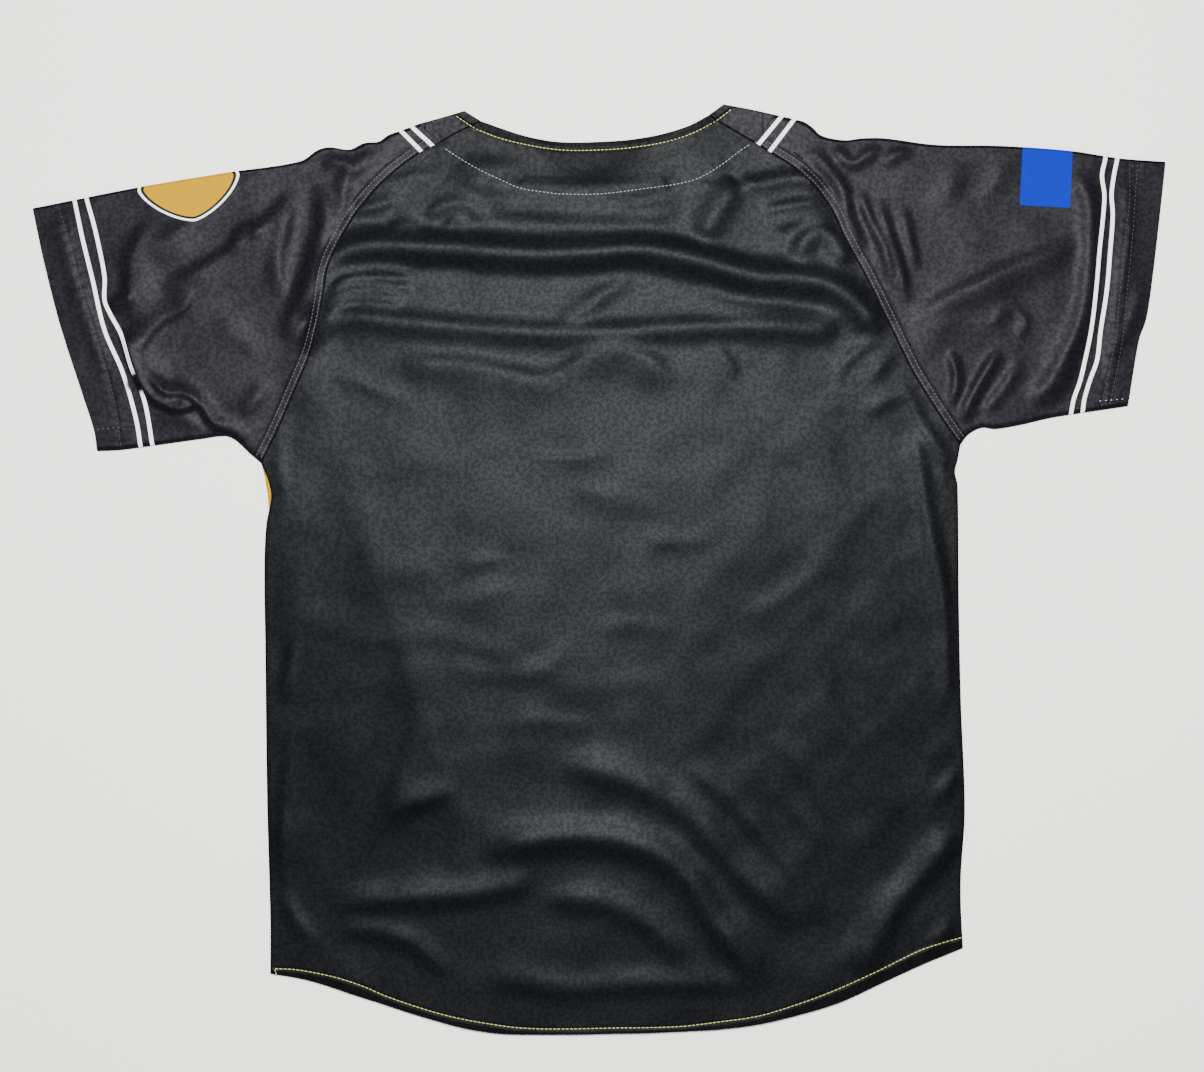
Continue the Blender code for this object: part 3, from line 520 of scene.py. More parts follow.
LEFT_STRIPES: tuple[Points, Points] = (
    ((-452, 362), (-444, 332), (-437, 307), (-431, 278), (-422, 241), (-412, 199), (-397, 164),
     (-386, 126), (-382, 102), (-378, 70)),
    ((-440, 362), (-432, 332), (-427, 309), (-422, 291), (-417, 270), (-412, 243), (-412, 224),
     (-407, 212), (-398, 195), (-390, 169), (-379, 141), (-372, 102), (-367, 70)),
)
RIGHT_STRIPES: tuple[Points, Points] = (
    ((438, 392), (435, 366), (432, 343), (429, 328), (427, 312), (428, 295), (426, 266), (423, 232),
     (418, 199), (415, 174), (409, 157), (404, 139), (402, 116), (400, 96)),
    ((426, 392), (423, 366), (422, 343), (419, 328), (421, 312), (420, 295), (417, 266), (414, 232),
     (410, 199), (405, 174), (401, 157), (395, 139), (392, 116), (390, 96)),
)
LEFT_SHOULDER_STRIPES: tuple[Points, Points] = (
    ((-177, 377), (-165, 365), (-148, 348), (-138, 338)),
    ((-168, 380), (-156, 368.5), (-138, 352), (-128, 342)),
)
RIGHT_SHOULDER_STRIPES: tuple[Points, Points] = (
    ((172, 386), (163, 375), (143, 349), (135, 339)),
    ((161, 388), (152, 377), (133, 354), (125, 344)),
)


class Lay:
    """How the jersey's upper layer lies: its height over the table at any plan point."""

    dome = 1.9
    neck_y = 290.0
    margin = 12.0
    waves = 26
    wave_height = 0.085

    def __init__(self) -> None:
        """Draws the outlines that the height depends on."""
        self.left_edge = np.vstack([Line(p).points for p in (LEFT_SIDE, LEFT_RAGLAN, LEFT_YOKE)])
        self.right_edge = np.vstack([Line(p).points for p in (RIGHT_SIDE, RIGHT_RAGLAN, RIGHT_YOKE)])
        self.outlines = [Line(p, 6) for p in (
            LEFT_SIDE, RIGHT_SIDE, LEFT_FOLD, RIGHT_FOLD, LEFT_UNDERARM, RIGHT_UNDERARM,
            LEFT_SHOULDER, RIGHT_SHOULDER,
        )]
        self.seams = {
            Side.LEFT: Line(LEFT_RAGLAN + LEFT_YOKE[1:], 6),
            Side.RIGHT: Line(RIGHT_RAGLAN + RIGHT_YOKE[1:], 6),
        }
        self.stitch_rows = [
            HEM_STITCH, NECK_STITCH, FACING_STITCH, LEFT_CUFF_STITCH, RIGHT_CUFF_STITCH,
            RIGHT_CUFF_SECOND,
        ]
        random = np.random.default_rng(5)
        turn = random.uniform(0, 2 * np.pi, self.waves)
        pitch = random.uniform(26.0, 95.0, self.waves)
        self.wave_vectors = 2 * np.pi / pitch[:, None] * np.stack([np.cos(turn), np.sin(turn)], -1)
        self.wave_phases = random.uniform(0, 2 * np.pi, self.waves)
        self.wave_sizes = self.wave_height * (pitch / 60.0) ** 1.2

    def body_share(self, xy: Array) -> Array:
        """How far each point lies across the body, 0 at its left edge and 1 at its right.

        Args:
            xy: the plan points.

        Returns:
            The share at each.
        """
        left = np.interp(xy[..., 1], self.left_edge[:, 1], self.left_edge[:, 0])
        right = np.interp(xy[..., 1], self.right_edge[:, 1], self.right_edge[:, 0])
        return np.clip((xy[..., 0] - left) / (right - left), 0.0, 1.0)

    def droop(self, xy: Array) -> Array:
        """How far the back has come down on the table past the fronts' neckline, 0 to 1.

        Args:
            xy: the plan points.

        Returns:
            The share at each.
        """
        x, y = xy[..., 0], xy[..., 1]
        left, right = NECK[0], NECK[-1]
        middle = (-3.3, self.neck_y)
        off = np.sqrt((x - middle[0]) ** 2 + 34.0**2)
        slope = np.where(x < middle[0], (left[1] - middle[1]) / (middle[0] - left[0]),
                         (right[1] - middle[1]) / (right[0] - middle[0]))
        past = ease((y - middle[1] - slope * off) / 42.0)
        for corner in (left, right):
            past = past * ease(np.abs(x - corner[0]) / 60.0)
        return np.where((x > left[0]) & (x < right[0]), past, 0.0)

    def undulation(self, xy: Array) -> Array:
        """Low uneven waves of cloth that was laid down by hand.

        Args:
            xy: the plan points.

        Returns:
            The lift at each, in millimetres.
        """
        lift = np.zeros(xy.shape[:-1])
        for vector, phase, size in zip(self.wave_vectors, self.wave_phases, self.wave_sizes):
            lift += size * np.sin(xy @ vector + phase)
        return lift

    def edge_fade(self, xy: Array) -> Array:
        """0 at the jersey's folded outline and 1 well inside it.

        Args:
            xy: the plan points.

        Returns:
            The share at each.
        """
        fade = np.ones(xy.shape[:-1])
        for line in self.outlines:
            fade *= ease(line.near(xy, self.margin)[0] / self.margin)
        return fade

    def top(self, xy: Array) -> Array:
        """The height of the upper layer's upper face over the table, in millimetres.

        Args:
            xy: the plan points.

        Returns:
            The height at each.
        """
        creases = np.zeros(xy.shape[:-1])
        for crease in CREASES:
            creases += crease.rise(xy)
        lift = (creases + self.undulation(xy)) * self.edge_fade(xy)
        lift = np.where(lift < 0, -0.55 * (1 - np.exp(lift / 0.55)), lift)
        lift = lift + self.dome * np.sin(np.pi * self.body_share(xy))
        droop = self.droop(xy)
        lift = lift * (1 - droop) - (FLAT - CLOTH) * droop
        for row in self.stitch_rows:
            lift = lift + row.rise(xy)
        for side, seam in self.seams.items():
            gap, along, hand = seam.near(xy, 24.0)
            wave = np.sin(2 * np.pi * along / 10.0 + 1.1 * np.sin(along / 17.0))
            allowance = 0.35 * ease(gap / 1.2) * ease((9.0 - gap) / 2.4)
            allowance = allowance * ease((seam.length - 42.0 - along) / 12.0)
            allowance = np.where(hand == -side.value, allowance, 0.0)
            lift = lift + 0.14 * wave * np.exp(-((gap / 7.0) ** 2)) + allowance
        return FLAT + lift


def turned(xy: Array, degrees: float) -> Array:
    """Plan vectors as seen in axes that are turned anticlockwise by an angle."""
    c, s = math.cos(math.radians(degrees)), math.sin(math.radians(degrees))
    return np.stack([xy[..., 0] * c + xy[..., 1] * s, xy[..., 1] * c - xy[..., 0] * s], -1)


def lip(distance: Array, radius: float = 0.4) -> Array:
    """How far a cut edge rounds down, at a distance in from it."""
    inside = np.clip(radius - np.asarray(distance), 0.0, radius)
    return radius - np.sqrt(radius**2 - inside**2)


class Socket:
    """A value on its way through a material, which takes part in sums."""

    def __init__(self, sheet: "Nodes", link: Any) -> None:
        """Wraps an output socket of a node tree."""
        self.sheet = sheet
        self.link = link

    def _math(self, operation: str, other: Any = None, swapped: bool = False) -> "Socket":
        """One Math node of this value and another."""
        values = [self] if other is None else ([other, self] if swapped else [self, other])
        return self.sheet.make("ShaderNodeMath", {"operation": operation}, dict(enumerate(values)))

    def __add__(self, other: Any) -> "Socket":
        """The sum."""
        return self._math("ADD", other)

    __radd__ = __add__

    def __sub__(self, other: Any) -> "Socket":
        """The difference."""
        return self._math("SUBTRACT", other)

    def __rsub__(self, other: Any) -> "Socket":
        """The difference, reflected."""
        return self._math("SUBTRACT", other, swapped=True)

    def __mul__(self, other: Any) -> "Socket":
        """The product."""
        return self._math("MULTIPLY", other)

    __rmul__ = __mul__

    def __lt__(self, other: Any) -> "Socket":
        """1 where this is less than the other."""
        return self._math("LESS_THAN", other)

    def __gt__(self, other: Any) -> "Socket":
        """1 where this is more than the other."""
        return self._math("GREATER_THAN", other)

    def absolute(self) -> "Socket":
        """The value without its sign."""
        return self._math("ABSOLUTE")

    def sine(self) -> "Socket":
        """The sine of the value."""
        return self._math("SINE")

    def clipped(self) -> "Socket":
        """The value held between 0 and 1."""
        return self.sheet.make("ShaderNodeClamp", {}, {0: self})

    def step(self, low: float, high: float) -> "Socket":
        """A soft step from 0 at low to 1 at high."""
        return self.sheet.make(
            "ShaderNodeMapRange", {"interpolation_type": "SMOOTHSTEP"},
            {"Value": self, "From Min": low, "From Max": high, "To Min": 0.0, "To Max": 1.0},
        )


class Nodes:
    """A material's node tree, and the one method that adds nodes to it."""

    def __init__(self, name: str) -> None:
        """Makes a material with an empty Principled shader.

        Args:
            name: the material's name.
        """
        self.material = bpy.data.materials.new(name)
        self.material.use_nodes = True
        self.tree = self.material.node_tree
        self.shader = self.tree.nodes["Principled BSDF"]

    def make(self, kind: str, settings: dict[str, Any], inputs: dict[Any, Any], output: Any = 0) -> Socket:
        """Adds a node.

        Args:
            kind: the node's type.
            settings: its properties, set first.
            inputs: values or links for its sockets, by name or number.
            output: the socket that the result wraps.

        Returns:
            The chosen output, as a Socket.
        """
        node = self.tree.nodes.new(kind)
        for key, value in settings.items():
            setattr(node, key, value)
        for key, value in inputs.items():
            self._feed(node.inputs[key], value)
        return Socket(self, node.outputs[output])

    def _feed(self, socket: Any, value: Any) -> None:
        """Links a Socket, or sets a plain value.

        Args:
            socket: the input that takes it.
            value: a Socket, a number, or a colour without its alpha.
        """
        if isinstance(value, Socket):
            self.tree.links.new(value.link, socket)
        else:
            socket.default_value = (*value, 1.0) if self._is_colour(socket, value) else value

    @staticmethod
    def _is_colour(socket: Any, value: Any) -> bool:
        """Whether a plain value is a colour without its alpha."""
        return socket.type == "RGBA" and hasattr(value, "__len__") and len(value) == 3

    def give(self, **inputs: Any) -> None:
        """Feeds the shader's own sockets; an underscore stands for a space."""
        for key, value in inputs.items():
            self._feed(self.shader.inputs[key.replace("_", " ")], value)

    def mix(self, low: Any, high: Any, share: Any) -> Socket:
        """A colour between two colours."""
        return self.make(
            "ShaderNodeMix", {"data_type": "RGBA"}, {0: share, 6: low, 7: high}, output=2
        )

    def scaled(self, colour: Any, share: Any) -> Socket:
        """A colour made darker or lighter by a value."""
        return self.make(
            "ShaderNodeVectorMath", {"operation": "SCALE"}, {0: colour, "Scale": share}
        )

    def place(self) -> Socket:
        """The point in the piece's own space, in metres."""
        return self.make("ShaderNodeTexCoord", {}, {}, output="Object")

    def axes(self, vector: Socket) -> tuple[Socket, Socket]:
        """The x and y of a vector."""
        parts = self.make("ShaderNodeSeparateXYZ", {}, {0: vector})
        return parts, Socket(self, parts.link.node.outputs[1])

    def noise(self, vector: Socket, scale: float, detail: float = 2.0, roughness: float = 0.5) -> Socket:
        """Noise about 0.5 at so many patches a metre."""
        return self.make(
            "ShaderNodeTexNoise", {},
            {"Vector": vector, "Scale": scale, "Detail": detail, "Roughness": roughness},
        )

    def mark(self, name: str) -> Socket:
        """A value kept at the mesh's points, 0 where a mesh has none."""
        return self.make("ShaderNodeAttribute", {"attribute_name": name}, {}, output="Fac")

    def bump(self, height: Socket, distance: float, strength: float) -> Socket:
        """A normal raised by a height."""
        return self.make(
            "ShaderNodeBump", {}, {"Height": height, "Distance": distance, "Strength": strength}
        )


Colour = tuple[float, float, float]

MARK_ZERO = 100.0


@dataclass(frozen=True)
class ClothFinish:
    """Dark knitted cloth with eyelets, which shines softly where it faces the light."""

    name: str
    colour: Colour
    dark: Colour
    eyelet_pitch: float = 0.0026
    eyelet_depth: float = 0.34
    grain: float = 0.5
    roughness: float = 0.60
    specular: float = 0.02
    sheen: float = 0.088
    sheen_roughness: float = 0.42
    stripe: Colour = (0.80, 0.79, 0.77)
    stripe_width: float = 3.3
    between: Colour = (0.0060, 0.0052, 0.0050)
    gold: Colour = (0.36, 0.185, 0.0)
    blue: Colour = (0.0005, 0.009, 0.27)

    def material(self) -> bpy.types.Material:
        """Builds the cloth's material.

        Returns:
            The material.
        """
        nodes = Nodes(self.name)
        place = nodes.place()
        x, y = nodes.axes(place)
        across, along = x * (math.pi / self.eyelet_pitch), y * (0.8 * math.pi / self.eyelet_pitch)
        eyelets = ((across + along).sine() * (across - along).sine()).absolute().step(0.45, 0.9)
        grain = nodes.noise(place, 1500.0, 2.0, 0.7)
        threads = nodes.noise(place, 420.0, 3.0, 0.6)
        knit = nodes.noise(place, 330.0, 1.0, 0.5).step(0.34, 0.66)
        patches = nodes.noise(place, 9.0, 3.0, 0.55)
        wear = nodes.noise(place, 38.0, 4.0, 0.6)
        # light scales colour and coat together: eyelets, grain, knit, random patches and wear noise are the
        # cloth's own tone, while the shade mark is painted shade
        light = (1.0 - self.eyelet_depth * eyelets) * (1.0 - nodes.mark("shade"))
        light = light * (1.0 + self.grain * (grain - 0.5) + 0.5 * (knit - 0.5))
        light = light * (1.0 + 0.16 * (patches - 0.5) + 0.14 * (wear - 0.5))
        colour = nodes.mix(self.dark, self.colour, (patches * 0.6 + 0.4).clipped())
        colour = nodes.scaled(colour, light)
        sheen = self.sheen * light
        half = self.stripe_width / 2
        for kind in ("sleeve", "shoulder"):
            outer = nodes.mark(f"{kind}_outer") - MARK_ZERO
            inner = nodes.mark(f"{kind}_inner") - MARK_ZERO
            band = (outer < 0.0) * (inner > 0.0)
            colour = nodes.mix(colour, nodes.scaled(self.between, light), band * 0.8)
            for edge in (outer, inner):
                line = 1.0 - edge.absolute().step(half - 0.25, half + 0.25)
                line = line * (1.0 - nodes.mark("tucked"))
                colour = nodes.mix(colour, nodes.scaled(self.stripe, 0.88 + 0.24 * threads), line)
                sheen = sheen * (1.0 - line)
        badge = nodes.mark("badge") - MARK_ZERO
        rim = badge.step(-4.0, -3.5) - badge.step(-2.2, -1.7)
        prints = (
            (rim, self.stripe),
            (badge.step(-0.2, 0.3), self.gold),
            ((nodes.mark("gold") - MARK_ZERO).step(-0.2, 0.3), self.gold),
            ((nodes.mark("patch") - MARK_ZERO).step(-0.2, 0.3), self.blue),
        )
        for inside, hue in prints:
            colour = nodes.mix(colour, nodes.scaled(hue, 0.86 + 0.28 * threads), inside)
            sheen = sheen * (1.0 - inside)
        nodes.give(
            Base_Color=colour,
            Roughness=self.roughness + 0.15 * (threads - 0.5),
            Coat_Weight=sheen,
            Coat_Roughness=self.sheen_roughness,
            Metallic=0.0,
            Specular_IOR_Level=self.specular,
        )
        weave = (1.0 - eyelets) + 0.6 * grain + 0.8 * threads
        nodes.give(Normal=nodes.bump(weave, 0.00030, 0.7))
        return nodes.material


@dataclass(frozen=True)
class ThreadFinish:
    """Sewing thread."""

    name: str
    colour: Colour
    roughness: float = 0.55

    def material(self) -> bpy.types.Material:
        """Builds the thread's material.

        Returns:
            The material.
        """
        nodes = Nodes(self.name)
        place = nodes.place()
        ply = nodes.noise(place, 900.0, 2.0, 0.6)
        soil = nodes.noise(place, 60.0, 2.0, 0.5)
        nodes.give(
            Base_Color=nodes.scaled(self.colour, 0.7 + 0.4 * ply + 0.3 * soil),
            Roughness=self.roughness + 0.2 * (ply - 0.5),
            Metallic=0.0,
        )
        nodes.give(Normal=nodes.bump(ply, 0.0001, 0.4))
        return nodes.material


@dataclass(frozen=True)
class ButtonFinish:
    """Moulded black plastic."""

    name: str = "button_plastic"
    colour: Colour = (0.012, 0.012, 0.013)
    scuffed: Colour = (0.03, 0.03, 0.03)

    def material(self) -> bpy.types.Material:
        """Builds the button's material.

        Returns:
            The material.
        """
        nodes = Nodes(self.name)
        place = nodes.place()
        scuffs = nodes.noise(place, 700.0, 4.0, 0.6)
        nodes.give(
            Base_Color=nodes.mix(self.colour, self.scuffed, scuffs),
            Roughness=0.28 + 0.3 * scuffs,
            Metallic=0.0,
        )
        nodes.give(Normal=nodes.bump(scuffs, 0.00005, 0.3))
        return nodes.material


@dataclass(frozen=True)
class TableFinish:
    """A pale, smooth table top."""

    name: str = "pale_table"
    colour: Colour = (0.80, 0.765, 0.715)
    worn: Colour = (0.82, 0.79, 0.745)

    def material(self) -> bpy.types.Material:
        """Builds the table's material.

        Returns:
            The material.
        """
        nodes = Nodes(self.name)
        patches = nodes.noise(nodes.place(), 2.5, 3.0, 0.5)
        nodes.give(
            Base_Color=nodes.mix(self.colour, self.worn, patches),
            Roughness=0.75 + 0.1 * patches,
            Metallic=0.0,
        )
        return nodes.material


BODY_CLOTH = ClothFinish("mesh_cloth", (0.0022, 0.0024, 0.0032), (0.0014, 0.0016, 0.0023))
SLEEVE_CLOTH = ClothFinish(
    "sleeve_cloth", (0.0038, 0.0034, 0.0054), (0.0026, 0.0024, 0.0040), eyelet_pitch=0.0022,
    eyelet_depth=0.16, grain=0.4, sheen=0.086,
)
HEM_THREAD = ThreadFinish("hem_thread", (0.40, 0.42, 0.09))
PALE_THREAD = ThreadFinish("facing_thread", (0.28, 0.29, 0.30))
SEAM_THREAD = ThreadFinish("seam_thread", (0.060, 0.059, 0.068))
DARK_THREAD = ThreadFinish("cuff_thread", (0.018, 0.017, 0.021))
WHITE_THREAD = ThreadFinish("bar_tack_thread", (0.62, 0.62, 0.60))


class Workroom:
    """Makes mesh objects and hangs them on the frame."""

    def __init__(self) -> None:
        """Starts with no materials and no pieces."""
        self._materials: dict[str, bpy.types.Material] = {}
        self.pieces: dict[str, bpy.types.Object] = {}

    def material(self, finish: Any) -> bpy.types.Material:
        """The material of a finish, made once.

        Args:
            finish: the finish.

        Returns:
            Its material.
        """
        if finish.name not in self._materials:
            self._materials[finish.name] = finish.material()
        return self._materials[finish.name]

    def add(
        self, name: str, vertices: Array, faces: list[tuple[int, ...]], finish: Any,
        marks: dict[str, Array] | None = None, nodes: Sequence[str] = (), slot: str = "",
    ) -> bpy.types.Object:
        """Adds a piece to the scene.

        Args:
            name: the piece's name.
            vertices: its points, in millimetres.
            faces: its faces.
            finish: its finish.
            marks: values at its points, for its material.
            nodes: the frame's nodes that it stands for.
            slot: not used.

        Returns:
            The new object.
        """
        mesh = bpy.data.meshes.new(name)
        mesh.from_pydata((np.asarray(vertices) * TO_METRES).tolist(), [], faces)
        mesh.update()
        for key, values in (marks or {}).items():
            layer = mesh.attributes.new(key, "FLOAT", "POINT")
            layer.data.foreach_set("value", np.asarray(values, np.float32).ravel())
        self._outward(mesh)
        mesh.shade_smooth()
        piece = bpy.data.objects.new(name, mesh)
        mesh.materials.append(self.material(finish))
        bpy.context.scene.collection.objects.link(piece)
        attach(piece, "root")
        if nodes:
            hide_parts(*nodes)
        self.pieces[name] = piece
        log.info("%s: %d faces", name, len(mesh.polygons))
        return piece

    @staticmethod
    def _outward(mesh: bpy.types.Mesh) -> None:
        """Turns the faces outwards.

        Args:
            mesh: the mesh, changed in place.
        """
        builder = bmesh.new()
        builder.from_mesh(mesh)
        bmesh.ops.recalc_face_normals(builder, faces=builder.faces)
        if builder.calc_volume(signed=True) < 0:
            bmesh.ops.reverse_faces(builder, faces=builder.faces)
        builder.to_mesh(mesh)
        builder.free()

    def shell(
        self, name: str, outer: Array, inner: Array, finish: Any, ring: bool = False, **rest: Any
    ) -> bpy.types.Object:
        """Adds a closed shell of cloth between two grids of points.

        Args:
            name: the piece's name.
            outer: the outer face's grid of points.
            inner: the inner face's grid.
            finish: its finish.
            ring: True where each row closes on itself.
            **rest: what add() takes besides.

        Returns:
            The new object.
        """
        rows, columns = outer.shape[:2]
        count = rows * columns
        number = np.arange(count).reshape(rows, columns)
        if ring:
            number = np.hstack([number, number[:, :1]])
        a, b, c, d = number[:-1, :-1], number[:-1, 1:], number[1:, 1:], number[1:, :-1]
        quads = [np.stack([a, b, c, d], -1).reshape(-1, 4)]
        quads.append(quads[0][:, ::-1] + count)
        rims = [number[0], number[-1][::-1]]
        if not ring:
            rims += [number[::-1, 0], number[:, -1]]
        for rim in rims:
            quads.append(np.stack([rim[:-1], rim[:-1] + count, rim[1:] + count, rim[1:]], -1))
        points = np.vstack([outer.reshape(-1, 3), inner.reshape(-1, 3)])
        marks = {key: np.concatenate([v.ravel(), v.ravel()]) for key, v in rest.pop("marks", {}).items()}
        return self.add(name, points, np.vstack(quads).tolist(), finish, marks=marks, **rest)


def edge_shares(start: float, end: float, step: float, fine: Sequence[float]) -> Array:
    """Distances from start to end, close together near both and a step apart between.

    Args:
        start: the first distance.
        end: the last one.
        step: the spacing between.
        fine: how far in from each end the close ones lie.

    Returns:
        The distances, rising.
    """
    low = start + np.array(fine)
    high = end - np.array(fine)[::-1]
    count = max(2, int(round((high[0] - low[-1]) / step)) + 1)
    return np.concatenate([low, np.linspace(low[-1], high[0], count)[1:-1], high])


FINE_EDGE = (0.0, 0.12, 0.35, 0.8, 1.5, 2.4, 3.5)
OVERLAP_COLUMNS = (
    50, 48, 46, 44.5, 43, 41.5, 40, 38.5, 37, 36, 34, 30, 24, 18, 12, 6, 2, 0.5, 0.0,
)
FINE_HEM = (0.0, 0.12, 0.35, 0.8, 1.5, 2.6, 3.9, 5.2, 6.2, 7.0, 7.8, 8.6, 9.6, 10.8, 12.2)


@dataclass
class Body:
    """The back and the two fronts."""

    room: Workroom
    lay: Lay
    row_step: float = 3.3
    column_count: int = 176
    edge_angles: int = 6
    front_every: int = 3
    front_columns: int = 60
    placket_width: float = 34.0
    stand_start: float = 2.0
    stand_rise: float = 10.0
    peek_width: float = 3.2
    peek_y: float = 66.0
    peek_reach: float = 17.0
    hem_inset: float = 2.0
    neck_hollow: float = 10.0
    side_rise: float = 425.0
    raglan_rise: float = 268.0
    yoke_rise: float = 18.0
    close_rows: int = 16
    overlap: float = 52.0
    placket_rows: int = 220
    seat_depth: float = 1.25
    seat_radius: float = 7.4
    hem_line: Line = field(init=False)
    neck_line: Line = field(init=False)

    def __post_init__(self) -> None:
        """Lays out the rows from the hem to the neck."""
        self.hem_line, self.neck_line = Line(HEM), Line(NECK)
        ends = []
        for side, raglan, yoke in (
            (LEFT_SIDE, LEFT_RAGLAN, LEFT_YOKE), (RIGHT_SIDE, RIGHT_RAGLAN, RIGHT_YOKE),
        ):
            low, middle, high = Line(side), Line(raglan), Line(yoke)
            side_rows = edge_shares(0.0, self.side_rise, self.row_step, FINE_HEM)
            side_rows = np.concatenate([side_rows[:-len(FINE_HEM) + 1], [self.side_rise]])
            side_rows = side_rows / self.side_rise
            top_rows = 1.0 - np.array(FINE_HEM)[::-1] / self.yoke_rise
            top_rows = np.concatenate([[0.0, 0.15], top_rows[top_rows > 0.25]])
            ends.append(np.vstack([
                low.at_heights(side_rows)[:-1],
                middle.at_heights(np.linspace(0, 1, int(self.raglan_rise / self.row_step)))[:-1],
                high.at_heights(top_rows),
            ]))
            self.side_count = len(side_rows) - 1
        self.left, self.right = ends
        self.share = (self.left[:, 1] - self.left[0, 1]) / (self.left[-1, 1] - self.left[0, 1])
        self.left_in = self._seam_inset(self.left)
        self.right_in = self._seam_inset(self.right)

    def _seam_inset(self, points: Array) -> Array:
        """The ends of the rows, moved in above the underarm to leave the seam's gap.

        Args:
            points: the ends of the rows, from the hem up.

        Returns:
            The same ends, moved in.
        """
        inset = points.copy()
        part = points[self.side_count:]
        along = np.gradient(part, axis=0)
        along /= np.linalg.norm(along, axis=1)[:, None]
        square = np.stack([-along[:, 1], along[:, 0]], -1)
        side = np.sign(((np.array([0.0, 200.0]) - part) * square).sum(1))
        inset[self.side_count:] = part + square * (side * SEAM_GAP / 2)[:, None]
        return inset

    def _edge(self, rounded: bool, upper: bool) -> Array:
        """Columns at an edge: distance in and height of the outer face, then of the inner one.

        Args:
            rounded: True where the edge is a fold, and False where it is cut.
            upper: True for the back, which is the upper layer.

        Returns:
            Four numbers for each column.
        """
        sign = 1.0 if upper else -1.0
        angle = np.linspace(0.0, np.pi / 2, self.edge_angles)
        if rounded:
            lift = sign * SEAM_GAP / 2 * (angle == 0)
            return np.stack([
                ROUND - ROUND * np.cos(angle), ROUND + sign * ROUND * np.sin(angle) + lift,
                ROUND - ROUND_INSIDE * np.cos(angle), ROUND + sign * ROUND_INSIDE * np.sin(angle) + lift,
            ], -1)
        inset = ROUND * angle / angle[-1]
        outer = ROUND + sign * (ROUND - lip(inset))
        return np.stack([inset, outer, inset, np.full_like(inset, ROUND + sign * ROUND_INSIDE)], -1)

    @staticmethod
    def _row(
        start: Array, end: Array, distances: Array, share: float,
        hem_bow: Callable[[Array], Array], neck_bow: Callable[[Array], Array],
    ) -> Array:
        """One row's plan points at these distances from its start, bowed as the edges are.

        Args:
            start: the row's first point.
            end: its last.
            distances: how far from start each point lies.
            share: how far up the panel the row lies, from 0 to 1.
            hem_bow: how far the hem stands off its straight, at shares of the width.
            neck_bow: the same for the neck.

        Returns:
            The plan points.
        """
        u = distances / np.linalg.norm(end - start)
        points = start + u[:, None] * (end - start)
        points[:, 1] += (1 - share) * hem_bow(u) + share * neck_bow(u)
        return points

    def back(self) -> bpy.types.Object:
        """Builds the back with its turned hem and neck edge.

        Returns:
            The back.
        """
        outer_plan, inner_plan, outer_z, inner_z = [], [], [], []
        for row, (start, end) in enumerate(zip(self.left_in, self.right_in)):
            width = float(np.linalg.norm(end - start))
            edge = self._edge(row < self.side_count, upper=True)
            middle = np.linspace(ROUND, width - ROUND, self.column_count)[1:-1]
            for plan, heights, k in ((outer_plan, outer_z, 0), (inner_plan, inner_z, 2)):
                distances = np.concatenate([edge[:, k], middle, width - edge[::-1, k]])
                level = np.full(len(middle), edge[-1, k + 1])
                heights.append(np.concatenate([edge[:, k + 1], level, edge[::-1, k + 1]]))
                plan.append(self._row(
                    start, end, distances, self.share[row], self.hem_line.bow, self.neck_line.bow,
                ))
        outer_plan, inner_plan = np.array(outer_plan), np.array(inner_plan)
        lift = self.lay.top(outer_plan) - FLAT
        cut = np.minimum(self.hem_line.near(outer_plan, 4.0)[0], self.neck_line.near(outer_plan, 4.0)[0])
        outer = np.dstack([outer_plan, np.array(outer_z) + lift - lip(cut)])
        inner = np.dstack([inner_plan, np.array(inner_z) + lift])
        shade = self._shade(outer_plan)
        return self.room.shell(
            "back_cloth", outer, inner, BODY_CLOTH, nodes=["back"], slot="body_cloth",
            marks={"shade": shade},
        )

    def _shade(self, xy: Array) -> Array:
        """How much darker the back looks, at the hems and outside its pale middle.

        Args:
            xy: the plan points.

        Returns:
            The share of light taken away at each.
        """
        hem = ease((-HEM_STITCH.line.signed(xy)) / 1.0) * (HEM_STITCH.line.near(xy, 30.0)[0] < 20)
        neck = ease(NECK_STITCH.line.signed(xy) / 1.0) * (NECK_STITCH.line.near(xy, 30.0)[0] < 14)
        left = ease((-Line(PALE_LEFT).signed(xy) + 6.0) / 14.0)
        right = ease((Line(PALE_RIGHT).signed(xy) + 6.0) / 14.0)
        fade = ease((65 - xy[..., 1]) / 60) * ease((xy[..., 1] + 330) / 140)
        outside = (0.34 * left + 0.22 * right) * fade
        return np.clip(0.55 * hem + 0.50 * neck + outside, 0.0, 0.8)

    def centre_x(self, y: Array) -> Array:
        """The x of the centre front at a height y."""
        (low_x, low_y), (high_x, high_y) = CENTRE_FRONT
        return np.interp(y, [low_y, high_y], [low_x, high_x])

    def centre_edge(self, offset: float, share: Array) -> Array:
        """A line beside the centre front, one point for each row's share.

        Args:
            offset: how far beside it, to the right where positive.
            share: how far up the front each row lies, from 0 to 1.

        Returns:
            The plan points.
        """
        start_x = float(self.centre_x(np.array(-387.0))) + offset
        low = np.interp(start_x, self.hem_line.points[:, 0], self.hem_line.points[:, 1]) + self.hem_inset
        y = low + share * (self.lay.neck_y - low)
        return np.stack([self.centre_x(y) + offset, y], -1)

    def _peeked(self, points: Array) -> Array:
        """The left front's edge, rolled out past the back under the arm.

        Args:
            points: the edge's points.

        Returns:
            The moved points.
        """
        moved = points.copy()
        reach = (points[:, 1] - self.peek_y) / self.peek_reach
        moved[:, 0] -= self.peek_width * np.clip(1 - reach**2, 0.0, 1.0)
        return moved

